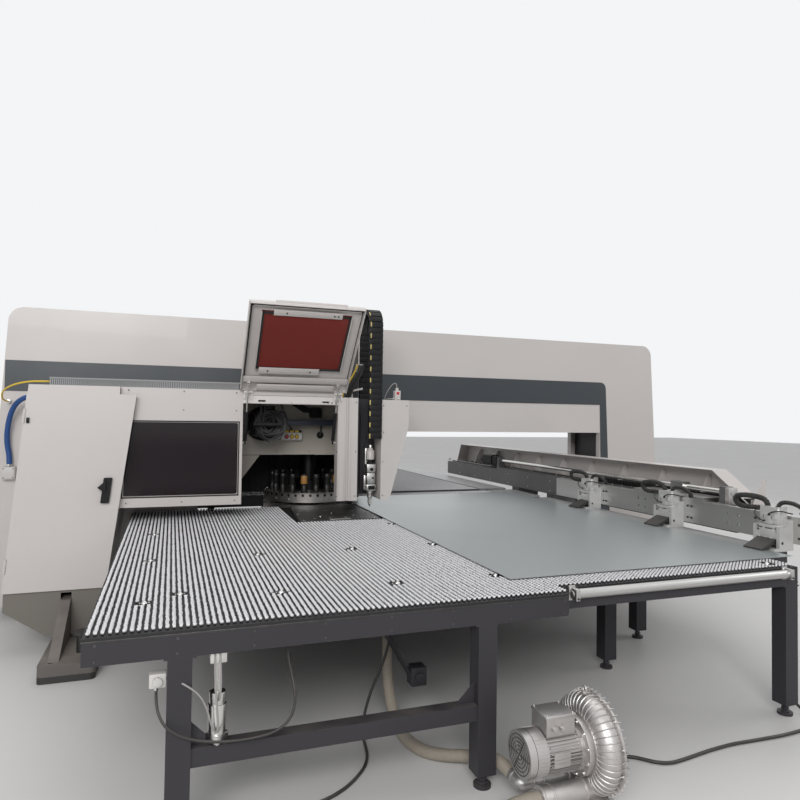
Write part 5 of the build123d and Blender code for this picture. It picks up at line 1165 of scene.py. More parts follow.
@dataclass
class LaserHead:
    """The cutting head with its collimator, lens drawer, nozzle and lines."""

    x: float = -0.35
    y: float = -0.835
    nozzle_low: float = 0.859
    crown: float = 1.352

    def column(self, rings: list[tuple[float, float]]) -> Shape:
        """A turned shape round the head's axis.

        Args:
            rings: pairs of radius and height, from the bottom up.

        Returns:
            The shape.
        """
        turned = Shape().turned([(height, radius) for radius, height in rings], (0, 0, 1), 32)
        bmesh.ops.remove_doubles(turned.bm, verts=turned.bm.verts[:], dist=1e-6)
        bmesh.ops.recalc_face_normals(turned.bm, faces=turned.bm.faces[:])
        return turned

    def placed(self, shape: Shape) -> Shape:
        """The shape moved from the origin to the head's axis."""
        return Shape().join(shape, at((self.x, self.y, 0)))

    def build(self) -> None:
        """Makes the head's pieces, all riding on the laser."""
        low = self.nozzle_low
        nozzle = self.column([(0.0, low), (0.0035, low), (0.0045, low + 0.006), (0.0105, low + 0.022),
            (0.0125, low + 0.024), (0.0125, low + 0.034), (0.0165, low + 0.036), (0.0165, low + 0.052),
            (0.012, low + 0.054), (0.0, low + 0.054)])
        self.placed(nozzle).piece("laser_nozzle", BRIGHT_STEEL, "laser", "laser_head")
        barrel = self.column([(0.0, 0.91), (0.0155, 0.91), (0.0155, 0.93), (0.021, 0.934), (0.021, 0.952),
            (0.0185, 0.955), (0.0185, 0.962), (0.0245, 0.966), (0.0245, 0.988), (0.0, 0.988)])
        for wide, deep, low, high in ((0.038, 0.042, 0.988, 1.04), (0.033, 0.037, 1.043, 1.128),
                (0.036, 0.04, 1.131, 1.198)):
            barrel.box((-wide, -deep, low), (wide, deep, high), 0.004)
        barrel.box((-0.03, 0.04, 0.996), (0.03, 0.0595, 1.32), 0.002)
        self.placed(barrel).piece("laser_barrel", STEEL, "laser", "laser_head")
        dark = self.column([(0.0, 1.198), (0.026, 1.198), (0.026, 1.212), (0.022, 1.216), (0.022, 1.232),
            (0.0, 1.232)])
        dark.box((-0.026, -0.052, 1.0), (0.026, -0.042, 1.03), 0.003)
        dark.bar(0, (-0.053, -0.04), 1.158, 0.013, 0.002)
        dark.bar(0.012, (-0.046, -0.036), 1.09, 0.007, 0.001)
        dark.box((-0.0345, -0.03, 1.1275), (0.0345, 0.03, 1.1315))
        self.placed(dark).piece("laser_dark_parts", BLACK_PLASTIC, "laser")
        top = self.column([(0.0, 1.232), (0.029, 1.232), (0.033, 1.237), (0.033, 1.3), (0.029, 1.306),
            (0.021, 1.309), (0.021, 1.322), (0.0, 1.322)])
        self.placed(top).piece("laser_collimator", WHITE, "laser", "laser_head")
        crown = self.column([(0.0, 1.322), (0.016, 1.322), (0.016, 1.342), (0.011, self.crown),
            (0.0, self.crown)])
        for height in (1.326, 1.331, 1.336):
            crown.ring((0, 0, height), (0, 0, 1), 0.0162, 0.0011, 28, 6)
        crown.bar(-0.048, -0.012, (0.995, 1.11), 0.011, 0.002)
        crown.bar((-0.05, -0.036), -0.012, 1.01, 0.006)
        crown.bar((-0.05, -0.032), -0.012, 1.095, 0.006)
        self.placed(crown).piece("laser_crown", BRIGHT_STEEL, "laser", "laser_head")
        lines = Shape()
        lines.hose([(0, 0, self.crown - 0.004), (0, 0, 1.385), (0.004, 0.01, 1.42), (0.006, 0.016, 1.44)],
            0.0065)
        lines.hose([(-0.048, -0.012, 1.108), (-0.05, -0.01, 1.15), (-0.06, 0.006, 1.23), (-0.058, 0.02, 1.32),
            (-0.036, 0.03, 1.4), (-0.03, 0.03, 1.438)], 0.0045)
        lines.hose([(0.034, 0, 1.168), (0.042, 0.004, 1.18), (0.043, 0.02, 1.27), (0.036, 0.03, 1.36),
            (0.028, 0.03, 1.438)], 0.004)
        self.placed(lines).piece("laser_lines", RUBBER, "laser")
        self.side_wiring()

    def side_wiring(self) -> None:
        """Makes the leads and the small bracket between the hatch and the chain."""
        white = Shape().box((-0.462, -0.79, 1.925), (-0.406, -0.776, 1.99), 0.003)
        white.prism([(-0.572, -0.8, 1.752), (-0.41, -0.8, 1.786), (-0.41, -0.8, 1.802),
            (-0.572, -0.8, 1.766)], (0, 0.02, 0))
        white.box((-0.52, -0.796, 1.716), (-0.49, -0.776, 1.752), 0.002)
        white.piece("chain_brackets", WHITE)
        yellow = Shape().hose([(-0.455, -0.795, 1.985), (-0.466, -0.8, 1.95), (-0.5, -0.812, 1.89),
            (-0.54, -0.812, 1.82), (-0.57, -0.806, 1.77), (-0.575, -0.8, 1.722)], 0.0065)
        yellow.piece("chain_yellow_lead", YELLOW_CABLE)
        dark = Shape()
        for shift, radius in ((0.016, 0.008), (0.032, 0.006), (0.048, 0.009)):
            dark.hose([(-0.455 + shift, -0.795, 1.98), (-0.462 + shift, -0.804, 1.94),
                (-0.492 + shift, -0.815, 1.88), (-0.53 + shift, -0.815, 1.812),
                (-0.556 + shift, -0.806, 1.762), (-0.56 + shift, -0.8, 1.722)], radius)
        dark.piece("chain_dark_leads", RUBBER)
        terminal = Shape().box((-0.516, -0.802, 1.756), (-0.494, -0.796, 1.772), 0.001)
        terminal.piece("chain_terminal", ORANGE)


@dataclass
class Bay:
    """The tool bay behind the hatch: wiring, lamp, buttons, curtains and small openings."""

    left: float = -1.353
    right: float = -0.645
    motor_x: float = -1.105
    motor_z: float = 1.505
    motor_front: float = -0.491
    fan_x: float = -1.11
    button_x: tuple[float, float, float] = (-0.905, -0.861, -0.817)
    button_z: float = 1.392
    box_front: float = -0.193
    strip_width: float = 0.062

    def pipe_and_lamp(self) -> None:
        """Makes the square bar across the bay, and the lamp on its arm."""
        bar = Shape().box((-0.984, -0.271, 1.49), (-0.442, -0.231, 1.54), 0.003)
        bar.box((-0.99, -0.274, 1.486), (-0.978, -0.228, 1.544), 0.002)
        bar.piece("bay_square_bar", SLATE_BAR, stands_for="service_fittings")
        lamp = Shape().prism([(-0.925, -0.205, 1.7), (-0.85, -0.205, 1.7), (-0.7, -0.205, 1.635),
            (-0.7, -0.205, 1.598), (-0.76, -0.205, 1.6)], (0, 0.028, 0))
        lamp.box((-0.702, -0.221, 1.556), (-0.608, -0.131, 1.64), 0.006)
        lamp.box((-0.694, -0.2225, 1.566), (-0.616, -0.2195, 1.63), 0.001)
        for height in (1.578, 1.59, 1.602, 1.614):
            lamp.box((-0.69, -0.2245, height), (-0.62, -0.2215, height + 0.004), 0.001)
        lamp.bar(-0.9, -0.191, (1.698, 1.709), 0.022, 0.002)
        lamp.piece("bay_lamp", BLACK_PLASTIC, stands_for="service_fittings")

    def wiring(self) -> None:
        """Winds the corrugated lines round the motor, and dresses its fan cowl."""
        draw = random.Random(11)
        nest = Shape()
        for index in range(15):
            reach = draw.uniform(0.055, 0.128)
            depth = self.motor_front - 0.014 - draw.uniform(0.0, 0.075)
            turn = draw.uniform(0, tau)
            span = draw.uniform(3.6, 5.9)
            shift = (draw.uniform(-0.03, 0.03), draw.uniform(-0.02, 0.02))
            points = []
            for step in range(9):
                angle = turn + span * step / 8
                wide = reach * draw.uniform(0.86, 1.12)
                points.append((self.motor_x + shift[0] + wide * cos(angle),
                    depth + draw.uniform(-0.012, 0.012), self.motor_z + shift[1] + wide * sin(angle) * 0.98))
            nest.hose(points, draw.choice((0.0045, 0.0055, 0.0075)))
        for x, z, radius in ((-1.2, 1.5, 0.009), (-1.17, 1.47, 0.007), (-1.03, 1.53, 0.0085)):
            nest.hose([(x, self.motor_front - 0.02, z), (x + 0.005, -0.56, z + 0.05), (x + 0.03, -0.58, 1.62),
                (x + 0.012, -0.54, 1.68), (x + 0.02, -0.45, 1.705)], radius)
        nest.hose([(-1.02, -0.52, 1.6), (-0.985, -0.5, 1.6), (-0.955, -0.4, 1.585), (-0.93, -0.28, 1.575),
            (-0.925, -0.16, 1.6)], 0.008)
        nest.hose([(-1.0, -0.5, 1.55), (-0.97, -0.47, 1.545), (-0.94, -0.33, 1.55), (-0.91, -0.2, 1.56),
            (-0.9, -0.135, 1.565)], 0.006)
        nest.hose([(-1.255, -0.5, 1.44), (-1.3, -0.56, 1.4), (-1.325, -0.62, 1.34), (-1.333, -0.6, 1.26)],
            0.006)
        nest.hose([(-0.602, -0.136, 1.404), (-0.602, -0.15, 1.412), (-0.6, -0.156, 1.45),
            (-0.598, -0.152, 1.495)], 0.008)
        nest.hose([(-0.862, -0.165, 1.449), (-0.862, -0.165, 1.47), (-0.88, -0.16, 1.488),
            (-0.9, -0.15, 1.51), (-0.905, -0.14, 1.552)], 0.0045)
        nest.piece("bay_lines", LINE_GREY)
        links = Shape()
        for index in range(26):
            shift = 0.215 * index / 25
            links.bar((-1.232 + shift, -1.227 + shift), -0.583, 1.498, 0.016, sides=14)
        links.bar((-1.236, -1.014), -0.583, 1.498, 0.0125)
        links.piece("bay_corrugated_line", RUBBER)
        cowl = Shape()
        hub = (self.fan_x, self.motor_front - 0.004, self.motor_z)
        for radius in (0.04, 0.062, 0.084, 0.106):
            cowl.ring(hub, (0, 1, 0), radius, 0.0025, 40, 6)
        for angle in turns(6):
            rim = (self.fan_x + 0.106 * cos(angle), hub[1], self.motor_z + 0.106 * sin(angle))
            cowl.rod(hub, rim, 0.0022, sides=6)
        cowl.piece("bay_fan_guard", DARK_STEEL)

    def buttons(self) -> None:
        """Adds bezels, blank label strips, cover screws and a gland to the button box."""
        bezels = Shape()
        for x in self.button_x:
            bezels.ring((x, self.box_front - 0.001, self.button_z), (0, 1, 0), 0.0182, 0.0022, 32, 8)
        bezels.bar(-0.862, -0.165, (1.4485, 1.46), 0.011, sides=6, soft=0.001)
        bezels.box((-0.9475, -0.194, 1.425), (-0.7745, -0.131, 1.448), 0.002)
        bezels.piece("button_bezels", BLACK_PLASTIC)
        labels = Shape()
        for x in self.button_x:
            labels.box((x - 0.0165, -0.1955, 1.4275), (x + 0.0165, -0.1935, 1.4445), 0.0006)
        labels.piece("button_labels", AMBER)
        edges = Shape().box((-0.946, -0.1945, 1.362), (-0.776, -0.1925, 1.368), 0.0005)
        edges.box((-0.946, -0.1945, 1.417), (-0.776, -0.1925, 1.424), 0.0005)
        edges.piece("button_box_edges", INNER_WHITE)
        spots = [(x, self.box_front, z) for x in (-0.94, -0.782) for z in (1.373, 1.412)]
        screws(spots, FRONT, 0.0035, 0.002).piece("button_box_screws", BRIGHT_STEEL)

    def curtains(self) -> None:
        """Hangs the black strips that close the guard behind and beside the turret; their black also stands
        in for the deep shade there.
        """
        # painted shade: the rubber strips' black also stands in for the deep shade inside the guard
        strips = Shape()
        count = int((-0.222 + 1.612) / self.strip_width)
        wide = self.strip_width + 0.004
        for index in range(count):
            x, step = -1.612 + index * self.strip_width, 0.003 * (index % 2)
            strips.box((x, 0.574 + step, 0.835), (x + wide, 0.5765 + step, 1.428), 0.0005)
        for side in (-1.342, -0.222):
            for index in range(10):
                y, step = -0.06 + index * self.strip_width, 0.003 * (index % 2)
                strips.box((side + step, y, 0.835), (side + 0.0025 + step, y + wide, 1.25), 0.0005)
        strips.box((-1.615, 0.572, 1.425), (-0.22, 0.581, 1.448), 0.001)
        strips.box((-1.344, -0.06, 1.245), (-1.334, 0.572, 1.262), 0.001)
        strips.box((-0.224, -0.06, 1.245), (-0.214, 0.572, 1.262), 0.001)
        strips.piece("guard_curtains_and_shade", RUBBER)

    def trim(self) -> None:
        """Adds the slots, the dots (black discs of painted shade in small holes), latches and panel screws
        that show round the bay.
        """
        dark = Shape()
        # painted shade: the three dots are black discs standing in for the shade inside three small holes in
        # the front panel
        for x in (-0.724, -0.693, -0.662):
            dark.bar(x, (-0.938, -0.9415), 1.671, 0.0055, sides=16)
        dark.bar(-0.6, (-0.131, -0.1345), 1.404, 0.031, 0.001)
        dark.ring((-0.6, -0.135, 1.404), (0, 1, 0), 0.028, 0.003, 32, 8)
        dark.box((-1.352, -0.1325, 1.2295), (-0.646, -0.13, 1.2335))
        dark.piece("bay_dark_trim_and_hole_shade", BLACK_PLASTIC)
        spots = [(x, -0.131, z) for x in (-1.33, -0.98, -0.7) for z in (1.26, 1.66)]
        spots += [(-0.5, -0.94, z) for z in (0.96, 1.3, 1.68)] + [(-0.648, -0.94, z) for z in (0.96, 1.3,
            1.68)]
        spots += [(x, -0.94, 1.663) for x in (-1.33, -1.0)]
        spots += [(-0.278, -0.94, z) for z in (0.96, 1.22, 1.45, 1.66)] + [(-0.085, -0.94, 1.66)]
        screws(spots, FRONT, 0.0045, 0.0025).piece("bay_panel_screws", DARK_STEEL)
        white = Shape()
        for x in (-1.335, -0.663):
            white.box((x - 0.018, -0.952, 1.69), (x + 0.018, -0.9405, 1.745), 0.003)
            white.box((x - 0.007, -0.968, 1.722), (x + 0.007, -0.948, 1.742), 0.003)
        for x in (-0.64, -0.59, -0.54):
            white.box((x, -0.9435, 0.932), (x + 0.006, -0.9395, 1.708), 0.0015)
        white.box((-1.35, -0.9445, 1.6555), (-0.65, -0.9395, 1.6625), 0.0015)
        white.box((-1.35, -0.9445, 1.7275), (-0.65, -0.9395, 1.7345), 0.0015)
        white.piece("bay_folds_and_brackets", WHITE)

    def build(self) -> None:
        """Makes all of the bay."""
        self.pipe_and_lamp()
        self.wiring()
        self.buttons()
        self.curtains()
        self.trim()


@dataclass
class Turret:
    """Tool sets in the holders, rim bolts, and the fittings of the die plate."""

    x: float = -0.637
    y: float = 0.16
    circle: float = 0.33
    count: int = 20
    disc_top: float = 0.902
    crown: float = 1.062
    rim: float = 0.405
    capped: tuple[int, ...] = (14, 17)
    rim_holes: int = 40
    rim_hole_z: float = 0.885
    rim_bolts: int = 36
    rim_bolt_circle: float = 0.386
    inner_bolt_circle: float = 0.285

    def cap(self) -> Shape:
        """The coloured cap of a holder, standing on the disc at the origin."""
        return Shape().bar(0, 0, (0.078, self.crown - self.disc_top - 0.012), 0.0292, 0.002, sides=28)

    def tool(self) -> Shape:
        """One punch holder with its guide, spring and head, standing on the disc at the origin."""
        tool = Shape().bar(0, 0, (0, 0.058), 0.0255, 0.002, sides=24)
        tool.bar(0, 0, (0.058, 0.066), 0.0285, 0.0015, sides=24)
        tool.bar(0, 0, (0.066, 0.128), 0.016, sides=16)
        for turn in range(6):
            tool.ring((0, 0, 0.072 + turn * 0.0098), (0.12, 0, 1), 0.0225, 0.0035, 16, 5)
        return tool.bar(0, 0, (0.128, self.crown - self.disc_top), 0.0275, 0.003, sides=24)

    def spot(self, radius: float, angle: float) -> Matrix:
        """A place on top of the disc."""
        return at((self.x + radius * cos(angle), self.y + radius * sin(angle), self.disc_top))

    def build(self) -> None:
        """Makes the tools, the bolts and the die plate's fittings."""
        every = [self.spot(self.circle, angle) for angle in turns(self.count)]
        tools = Shape().repeat(self.tool(), every)
        tools.piece("punch_sets", DARK_STEEL, "upper_disc", "punch_holders")
        caps = Shape().repeat(self.cap(), [every[index] for index in self.capped])
        caps.piece("punch_caps", ORANGE, "upper_disc")
        bolts = Shape()
        head = hex_screw(0.0075, 0.007)
        for count, radius in ((self.rim_bolts, self.rim_bolt_circle), (self.count, self.inner_bolt_circle)):
            bolts.repeat(head, [self.spot(radius, angle) for angle in turns(count, 0.5)])
        # painted shade: the rim's holes are short black plugs standing in for the shade inside them
        holes = Shape()
        for angle in turns(self.rim_holes):
            ends = [(self.x + radius * cos(angle), self.y + radius * sin(angle),
                self.rim_hole_z) for radius in (self.rim - 0.004, self.rim + 0.0008)]
            holes.rod(*ends, 0.0125)
        holes.piece("turret_rim_hole_shade", BLACK_PLASTIC, "upper_disc")
        bolts.ring((self.x, self.y, self.disc_top + 0.0005), (0, 0, 1), 0.397, 0.0022, 96, 6)
        bolts.piece("turret_bolts", BRIGHT_STEEL, "upper_disc")
        self.die_plate()

    def die_plate(self) -> None:
        """Adds screws, threaded holes drawn as black discs of painted shade, and the bright insert to the die
        plate.
        """
        top = 0.808
        spots = [(-0.915, -1.045), (-0.64, -1.052), (-0.375, -1.055), (-0.905, -0.76), (-0.332, -0.76),
            (-0.895, -0.48), (-0.305, -0.48), (-0.64, -0.76), (-0.76, -0.9), (-0.5, -0.9)]
        screws([(x, y, top) for x, y in spots], Matrix.Identity(4), 0.0085, 0.003).piece("die_plate_screws",
            BRIGHT_STEEL)
        rings = Shape()
        for x, y, radius in ((-0.7, -0.98, 0.014), (-0.58, -0.98, 0.014), (-0.82, -0.98, 0.01),
                (-0.46, -0.98, 0.01), (-0.83, -0.64, 0.018), (-0.44, -0.64, 0.018), (-0.64, -0.56, 0.03)):
            rings.ring((x, y, top), (0, 0, 1), radius, 0.0016, 28, 6)
        rings.box((-0.72, -1.06, top - 0.001), (-0.56, -1.03, top + 0.0025), 0.001)
        rings.piece("die_plate_inserts", STEEL)
        # painted shade: near-black discs on the plate stand in for the shade inside its threaded holes and
        # bores
        holes = Shape()
        for index in range(9):
            x = -0.88 + index * 0.062
            holes.bar(x, -0.84, (top - 0.001, top + 0.0006), 0.006, sides=14)
            holes.bar(x + 0.02, -0.69, (top - 0.001, top + 0.0006), 0.006, sides=14)
        for x, y, radius in ((-0.83, -0.64, 0.0165), (-0.44, -0.64, 0.0165), (-0.64, -0.56, 0.0285)):
            holes.bar(x, y, (top - 0.001, top + 0.0006), radius)
        holes.piece("die_plate_hole_shade", BED_BLACK)


@dataclass
class Fittings:
    """Cable trunking, valves, boxes and the air cylinder round the machine."""

    duct_left: float = -2.64
    duct_right: float = -1.353
    duct_front: float = -0.72
    duct_back: float = -0.64
    duct_low: float = 1.75
    duct_high: float = 1.815
    tooth_pitch: float = 0.0125

    def duct(self) -> Shape:
        """The slotted trunking: a floor, two rows of teeth and a lid."""
        duct = Shape()
        duct.box((self.duct_left, self.duct_front, self.duct_low), (self.duct_right, self.duct_back,
            self.duct_low + 0.012), 0.001)
        duct.box((self.duct_left, self.duct_front - 0.001, self.duct_high - 0.009),
            (self.duct_right, self.duct_back + 0.001, self.duct_high), 0.0015)
        tooth = Shape().box((0, -0.0011, 0.011), (0.0078, 0.0011, self.duct_high - self.duct_low - 0.008))
        count = int((self.duct_right - self.duct_left) // self.tooth_pitch)
        places = []
        for index in range(count):
            for y in (self.duct_front + 0.0015, self.duct_back - 0.0015):
                places.append(at((self.duct_left + 0.003 + index * self.tooth_pitch, y, self.duct_low)))
        return duct.repeat(tooth, places)

    def build(self) -> None:
        """Makes all of them."""
        self.duct().piece("cable_trunking", DUCT_GREY, stands_for="service_fittings")
        pale = Shape().box((-3.026, -0.182, 1.062), (-2.94, -0.125, 1.156), 0.004)
        pale.box((-3.022, -0.186, 1.068), (-2.944, -0.181, 1.15), 0.002)
        pale.box((-0.12, -0.757, 1.707), (-0.072, -0.703, 1.79), 0.004)
        pale.bar(-0.096, -0.73, (1.79, 1.812), 0.013, 0.003)
        pale.box((-1.893, -3.22, 0.587), (-1.835, -3.174, 0.638), 0.004)
        pale.bar(-1.864, (-3.172, -3.158), 0.612, 0.012, 0.002)
        pale.piece("pale_boxes", INNER_WHITE, stands_for="service_fittings")
        patch = Shape().box((-0.108, -0.7585, 1.756), (-0.084, -0.756, 1.778), 0.001)
        patch.piece("valve_patch", RED)
        metal = Shape().bar(-0.096, (-0.758, -0.772), 1.722, 0.008, sides=6, soft=0.001)
        metal.bar((-0.118, -0.133), -0.73, 1.722, 0.008, sides=6, soft=0.001)
        metal.bar(-1.655, -3.197, (0.395, 0.5), 0.0335, 0.001)
        metal.bar(-1.655, -3.197, (0.36, 0.395), 0.043, 0.004, sides=4)
        metal.bar(-1.655, -3.197, (0.5, 0.545), 0.03, 0.003)
        metal.bar(-1.655, -3.197, (0.545, 0.695), 0.012)
        metal.box((-1.685, -3.227, 0.655), (-1.625, -3.167, 0.695), 0.003)
        metal.bar(-1.864, (-3.223, -3.233), 0.612, 0.017, 0.002)
        metal.bar(-1.869, -3.2, (0.587, 0.574), 0.0085, sides=6, soft=0.001)
        metal.bar(-2.983, -0.155, (1.156, 1.176), 0.0245, sides=6, soft=0.002)
        metal.bar(-3.0, (-0.125, -0.155), 1.65, 0.0155, sides=6, soft=0.001)
        metal.bar(-3.0, (-0.155, -0.166), 1.65, 0.0125, 0.001)
        for low, high, radius in ((0.695, 0.712, 0.038), (0.712, 0.781, 0.0335)):
            metal.bar(-0.744, -2.473, (low, high), radius, 0.001)
        metal.piece("bright_fittings", BRIGHT_STEEL, stands_for="service_fittings")
        spots = [(x, -0.186, z) for x in (-3.015, -2.951) for z in (1.075, 1.143)]
        screws(spots, FRONT, 0.004, 0.002).piece("box_screws", DARK_STEEL)
        lines = Shape().hose([(-0.13, -0.73, 1.722), (-0.148, -0.73, 1.722), (-0.17, -0.728, 1.722),
            (-0.186, -0.72, 1.716), (-0.19, -0.712, 1.706)], 0.004)
        lines.hose([(-0.096, -0.73, 1.808), (-0.096, -0.73, 1.836), (-0.11, -0.728, 1.853),
            (-0.134, -0.724, 1.842), (-0.162, -0.716, 1.8), (-0.188, -0.708, 1.752), (-0.196, -0.704, 1.704)],
            0.0038)
        lines.hose([(-1.655, -3.23, 0.41), (-1.655, -3.244, 0.41), (-1.655, -3.25, 0.45),
            (-1.662, -3.246, 0.53), (-1.668, -3.236, 0.62), (-1.668, -3.226, 0.69)], 0.004)
        lines.hose([(-1.655, -3.226, 0.52), (-1.65, -3.242, 0.524), (-1.646, -3.244, 0.58),
            (-1.648, -3.234, 0.64), (-1.65, -3.226, 0.69)], 0.004)
        lines.hose([(-1.8345, -3.197, 0.612), (-1.815, -3.206, 0.612), (-1.77, -3.25, 0.6),
            (-1.72, -3.252, 0.56), (-1.692, -3.246, 0.5), (-1.676, -3.242, 0.43), (-1.662, -3.236, 0.408)],
            0.0035)
        lines.piece("small_air_lines", GREY_LINE)


@dataclass
class Cabinet:
    """Lock, gaskets and screws of the cabinet, and the window's frame."""

    door_front: float = -1.0145

    def build(self) -> None:
        """Makes the cabinet's small parts."""
        lock = Shape().box((-2.718, self.door_front - 0.0025, 1.498), (-2.7, self.door_front + 0.002, 1.534),
            0.002)
        lock.bar(-2.709, (self.door_front, self.door_front - 0.006), 1.522, 0.006, 0.001)
        lock.piece("door_lock", BLACK_PLASTIC, "door")
        seal = Shape()
        for left, right, low, high in ((-2.152, -1.372, 1.514, 1.524), (-2.152, -1.372, 0.988, 0.998),
                (-1.382, -1.373, 0.99, 1.522), (-2.152, -2.143, 0.99, 1.522)):
            seal.box((left, -0.9415, low), (right, -0.939, high), 0.0008)
        seal.piece("window_seal", RUBBER)
        spots = [(x, -0.94, z) for x in (-2.12, -1.76, -1.4) for z in (0.955, 1.6, 1.73)]
        screws(spots, FRONT, 0.0045, 0.0025).piece("window_screws", DARK_STEEL)
        island = Shape()
        for index in range(14):
            x = -2.05 + index * 0.026
            island.box((x, -0.6, 1.045), (x + 0.012, -0.59, 1.085), 0.001)
        island.box((-2.06, -0.6, 1.03), (-1.66, -0.585, 1.045), 0.001)
        island.piece("valve_island", CASTING)


@dataclass
class Clamps:
    """Cylinders, plates, bolts and hoses of the three sheet clamps and their carriage."""

    spots: tuple[float, float, float] = (-2.795, -1.935, -0.995)
    face: float = 1.655
    top: float = 1.062

    def cylinders(self, y: float) -> Shape:
        """The twin air cylinders and the guide block of one clamp."""
        shape = Shape()
        for shift in (-0.034, 0.034):
            shape.bar(1.6, y + shift, (0.955, 1.05), 0.0265, 0.002, sides=28)
            shape.bar(1.6, y + shift, (1.05, self.top), 0.0225, 0.003, sides=28)
            shape.bar(1.568, y + shift, (0.88, 0.955), 0.011, sides=16)
        shape.box((1.566, y - 0.064, 0.962), (1.64, y + 0.064, 1.02), 0.004)
        shape.box((1.552, y - 0.068, 0.936), (1.654, y + 0.068, 0.956), 0.003)
        shape.box((1.556, y - 0.082, 0.866), (1.566, y + 0.082, 0.93), 0.003)
        shape.box((1.553, y - 0.028, 0.958), (1.575, y + 0.028, 1.028), 0.004)
        return shape

    def build(self) -> None:
        """Makes all that rides on the carriage and the jaws."""
        bright, bolts, hoses, dark, pads = Shape(), Shape(), Shape(), Shape(), Shape()
        for y in self.spots:
            bright.join(self.cylinders(y))
            for shift in (-0.064, 0.064):
                for height in (0.92, 0.943):
                    bolts.join(cap_screw(0.0065, 0.006), at((1.556, y + shift, height)) @ LEFT)
            for shift in (-0.165, -0.13, 0.135, 0.17):
                for height in (0.885, 0.965):
                    bolts.join(cap_screw(0.008, 0.007), at((self.face, y + shift, height)) @ LEFT)
            dark.box((1.5535, y - 0.0285, 0.99), (1.556, y + 0.0285, 1.01))
            dark.bar(1.6, y + 0.034, (0.972, 0.98), 0.0272, sides=28)
            dark.bar(1.6, y - 0.034, (0.972, 0.98), 0.0272, sides=28)
            dark.bar((1.553, 1.541), y - 0.018, 1.016, 0.006, sides=6, soft=0.0008)
            dark.bar((1.553, 1.541), y + 0.018, 0.976, 0.006, sides=6, soft=0.0008)
            hoses.ribbed([(1.604, y + 0.036, 1.06), (1.604, y + 0.044, 1.094), (1.604, y + 0.11, 1.108),
                (1.604, y + 0.2, 1.108), (1.606, y + 0.272, 1.096), (1.612, y + 0.284, 1.058),
                (1.624, y + 0.256, 1.03), (1.65, y + 0.18, 1.032), (1.672, y + 0.12, 1.034)], 0.0175)
            hoses.ribbed([(1.6, y - 0.036, 1.06), (1.6, y - 0.046, 1.088), (1.602, y - 0.1, 1.098),
                (1.606, y - 0.16, 1.088), (1.618, y - 0.192, 1.058), (1.646, y - 0.176, 1.036),
                (1.672, y - 0.13, 1.032)], 0.0135)
            hoses.hose([(1.541, y - 0.018, 1.016), (1.532, y - 0.02, 1.018), (1.532, y - 0.056, 1.04),
                (1.56, y - 0.094, 1.046), (1.62, y - 0.09, 1.03), (1.662, y - 0.08, 1.024)], 0.004)
            hoses.hose([(1.541, y + 0.018, 0.976), (1.53, y + 0.02, 0.978), (1.53, y + 0.062, 1.0),
                (1.556, y + 0.096, 1.03), (1.62, y + 0.096, 1.032), (1.662, y + 0.09, 1.024)], 0.004)
            for shift in (-0.06, -0.02, 0.02, 0.06):
                pads.join(cap_screw(0.007, 0.005), at((1.56, y + shift, 0.874)))
        bright.piece("clamp_cylinders", ALLOY, "carriage")
        bolts.piece("clamp_bolts", DARK_STEEL, "carriage")
        dark.piece("clamp_dark_parts", BLACK_PLASTIC, "carriage")
        hoses.piece("clamp_hoses", RUBBER, "carriage", "clamp_chains")
        pads.piece("jaw_screws", BRIGHT_STEEL, "jaws")


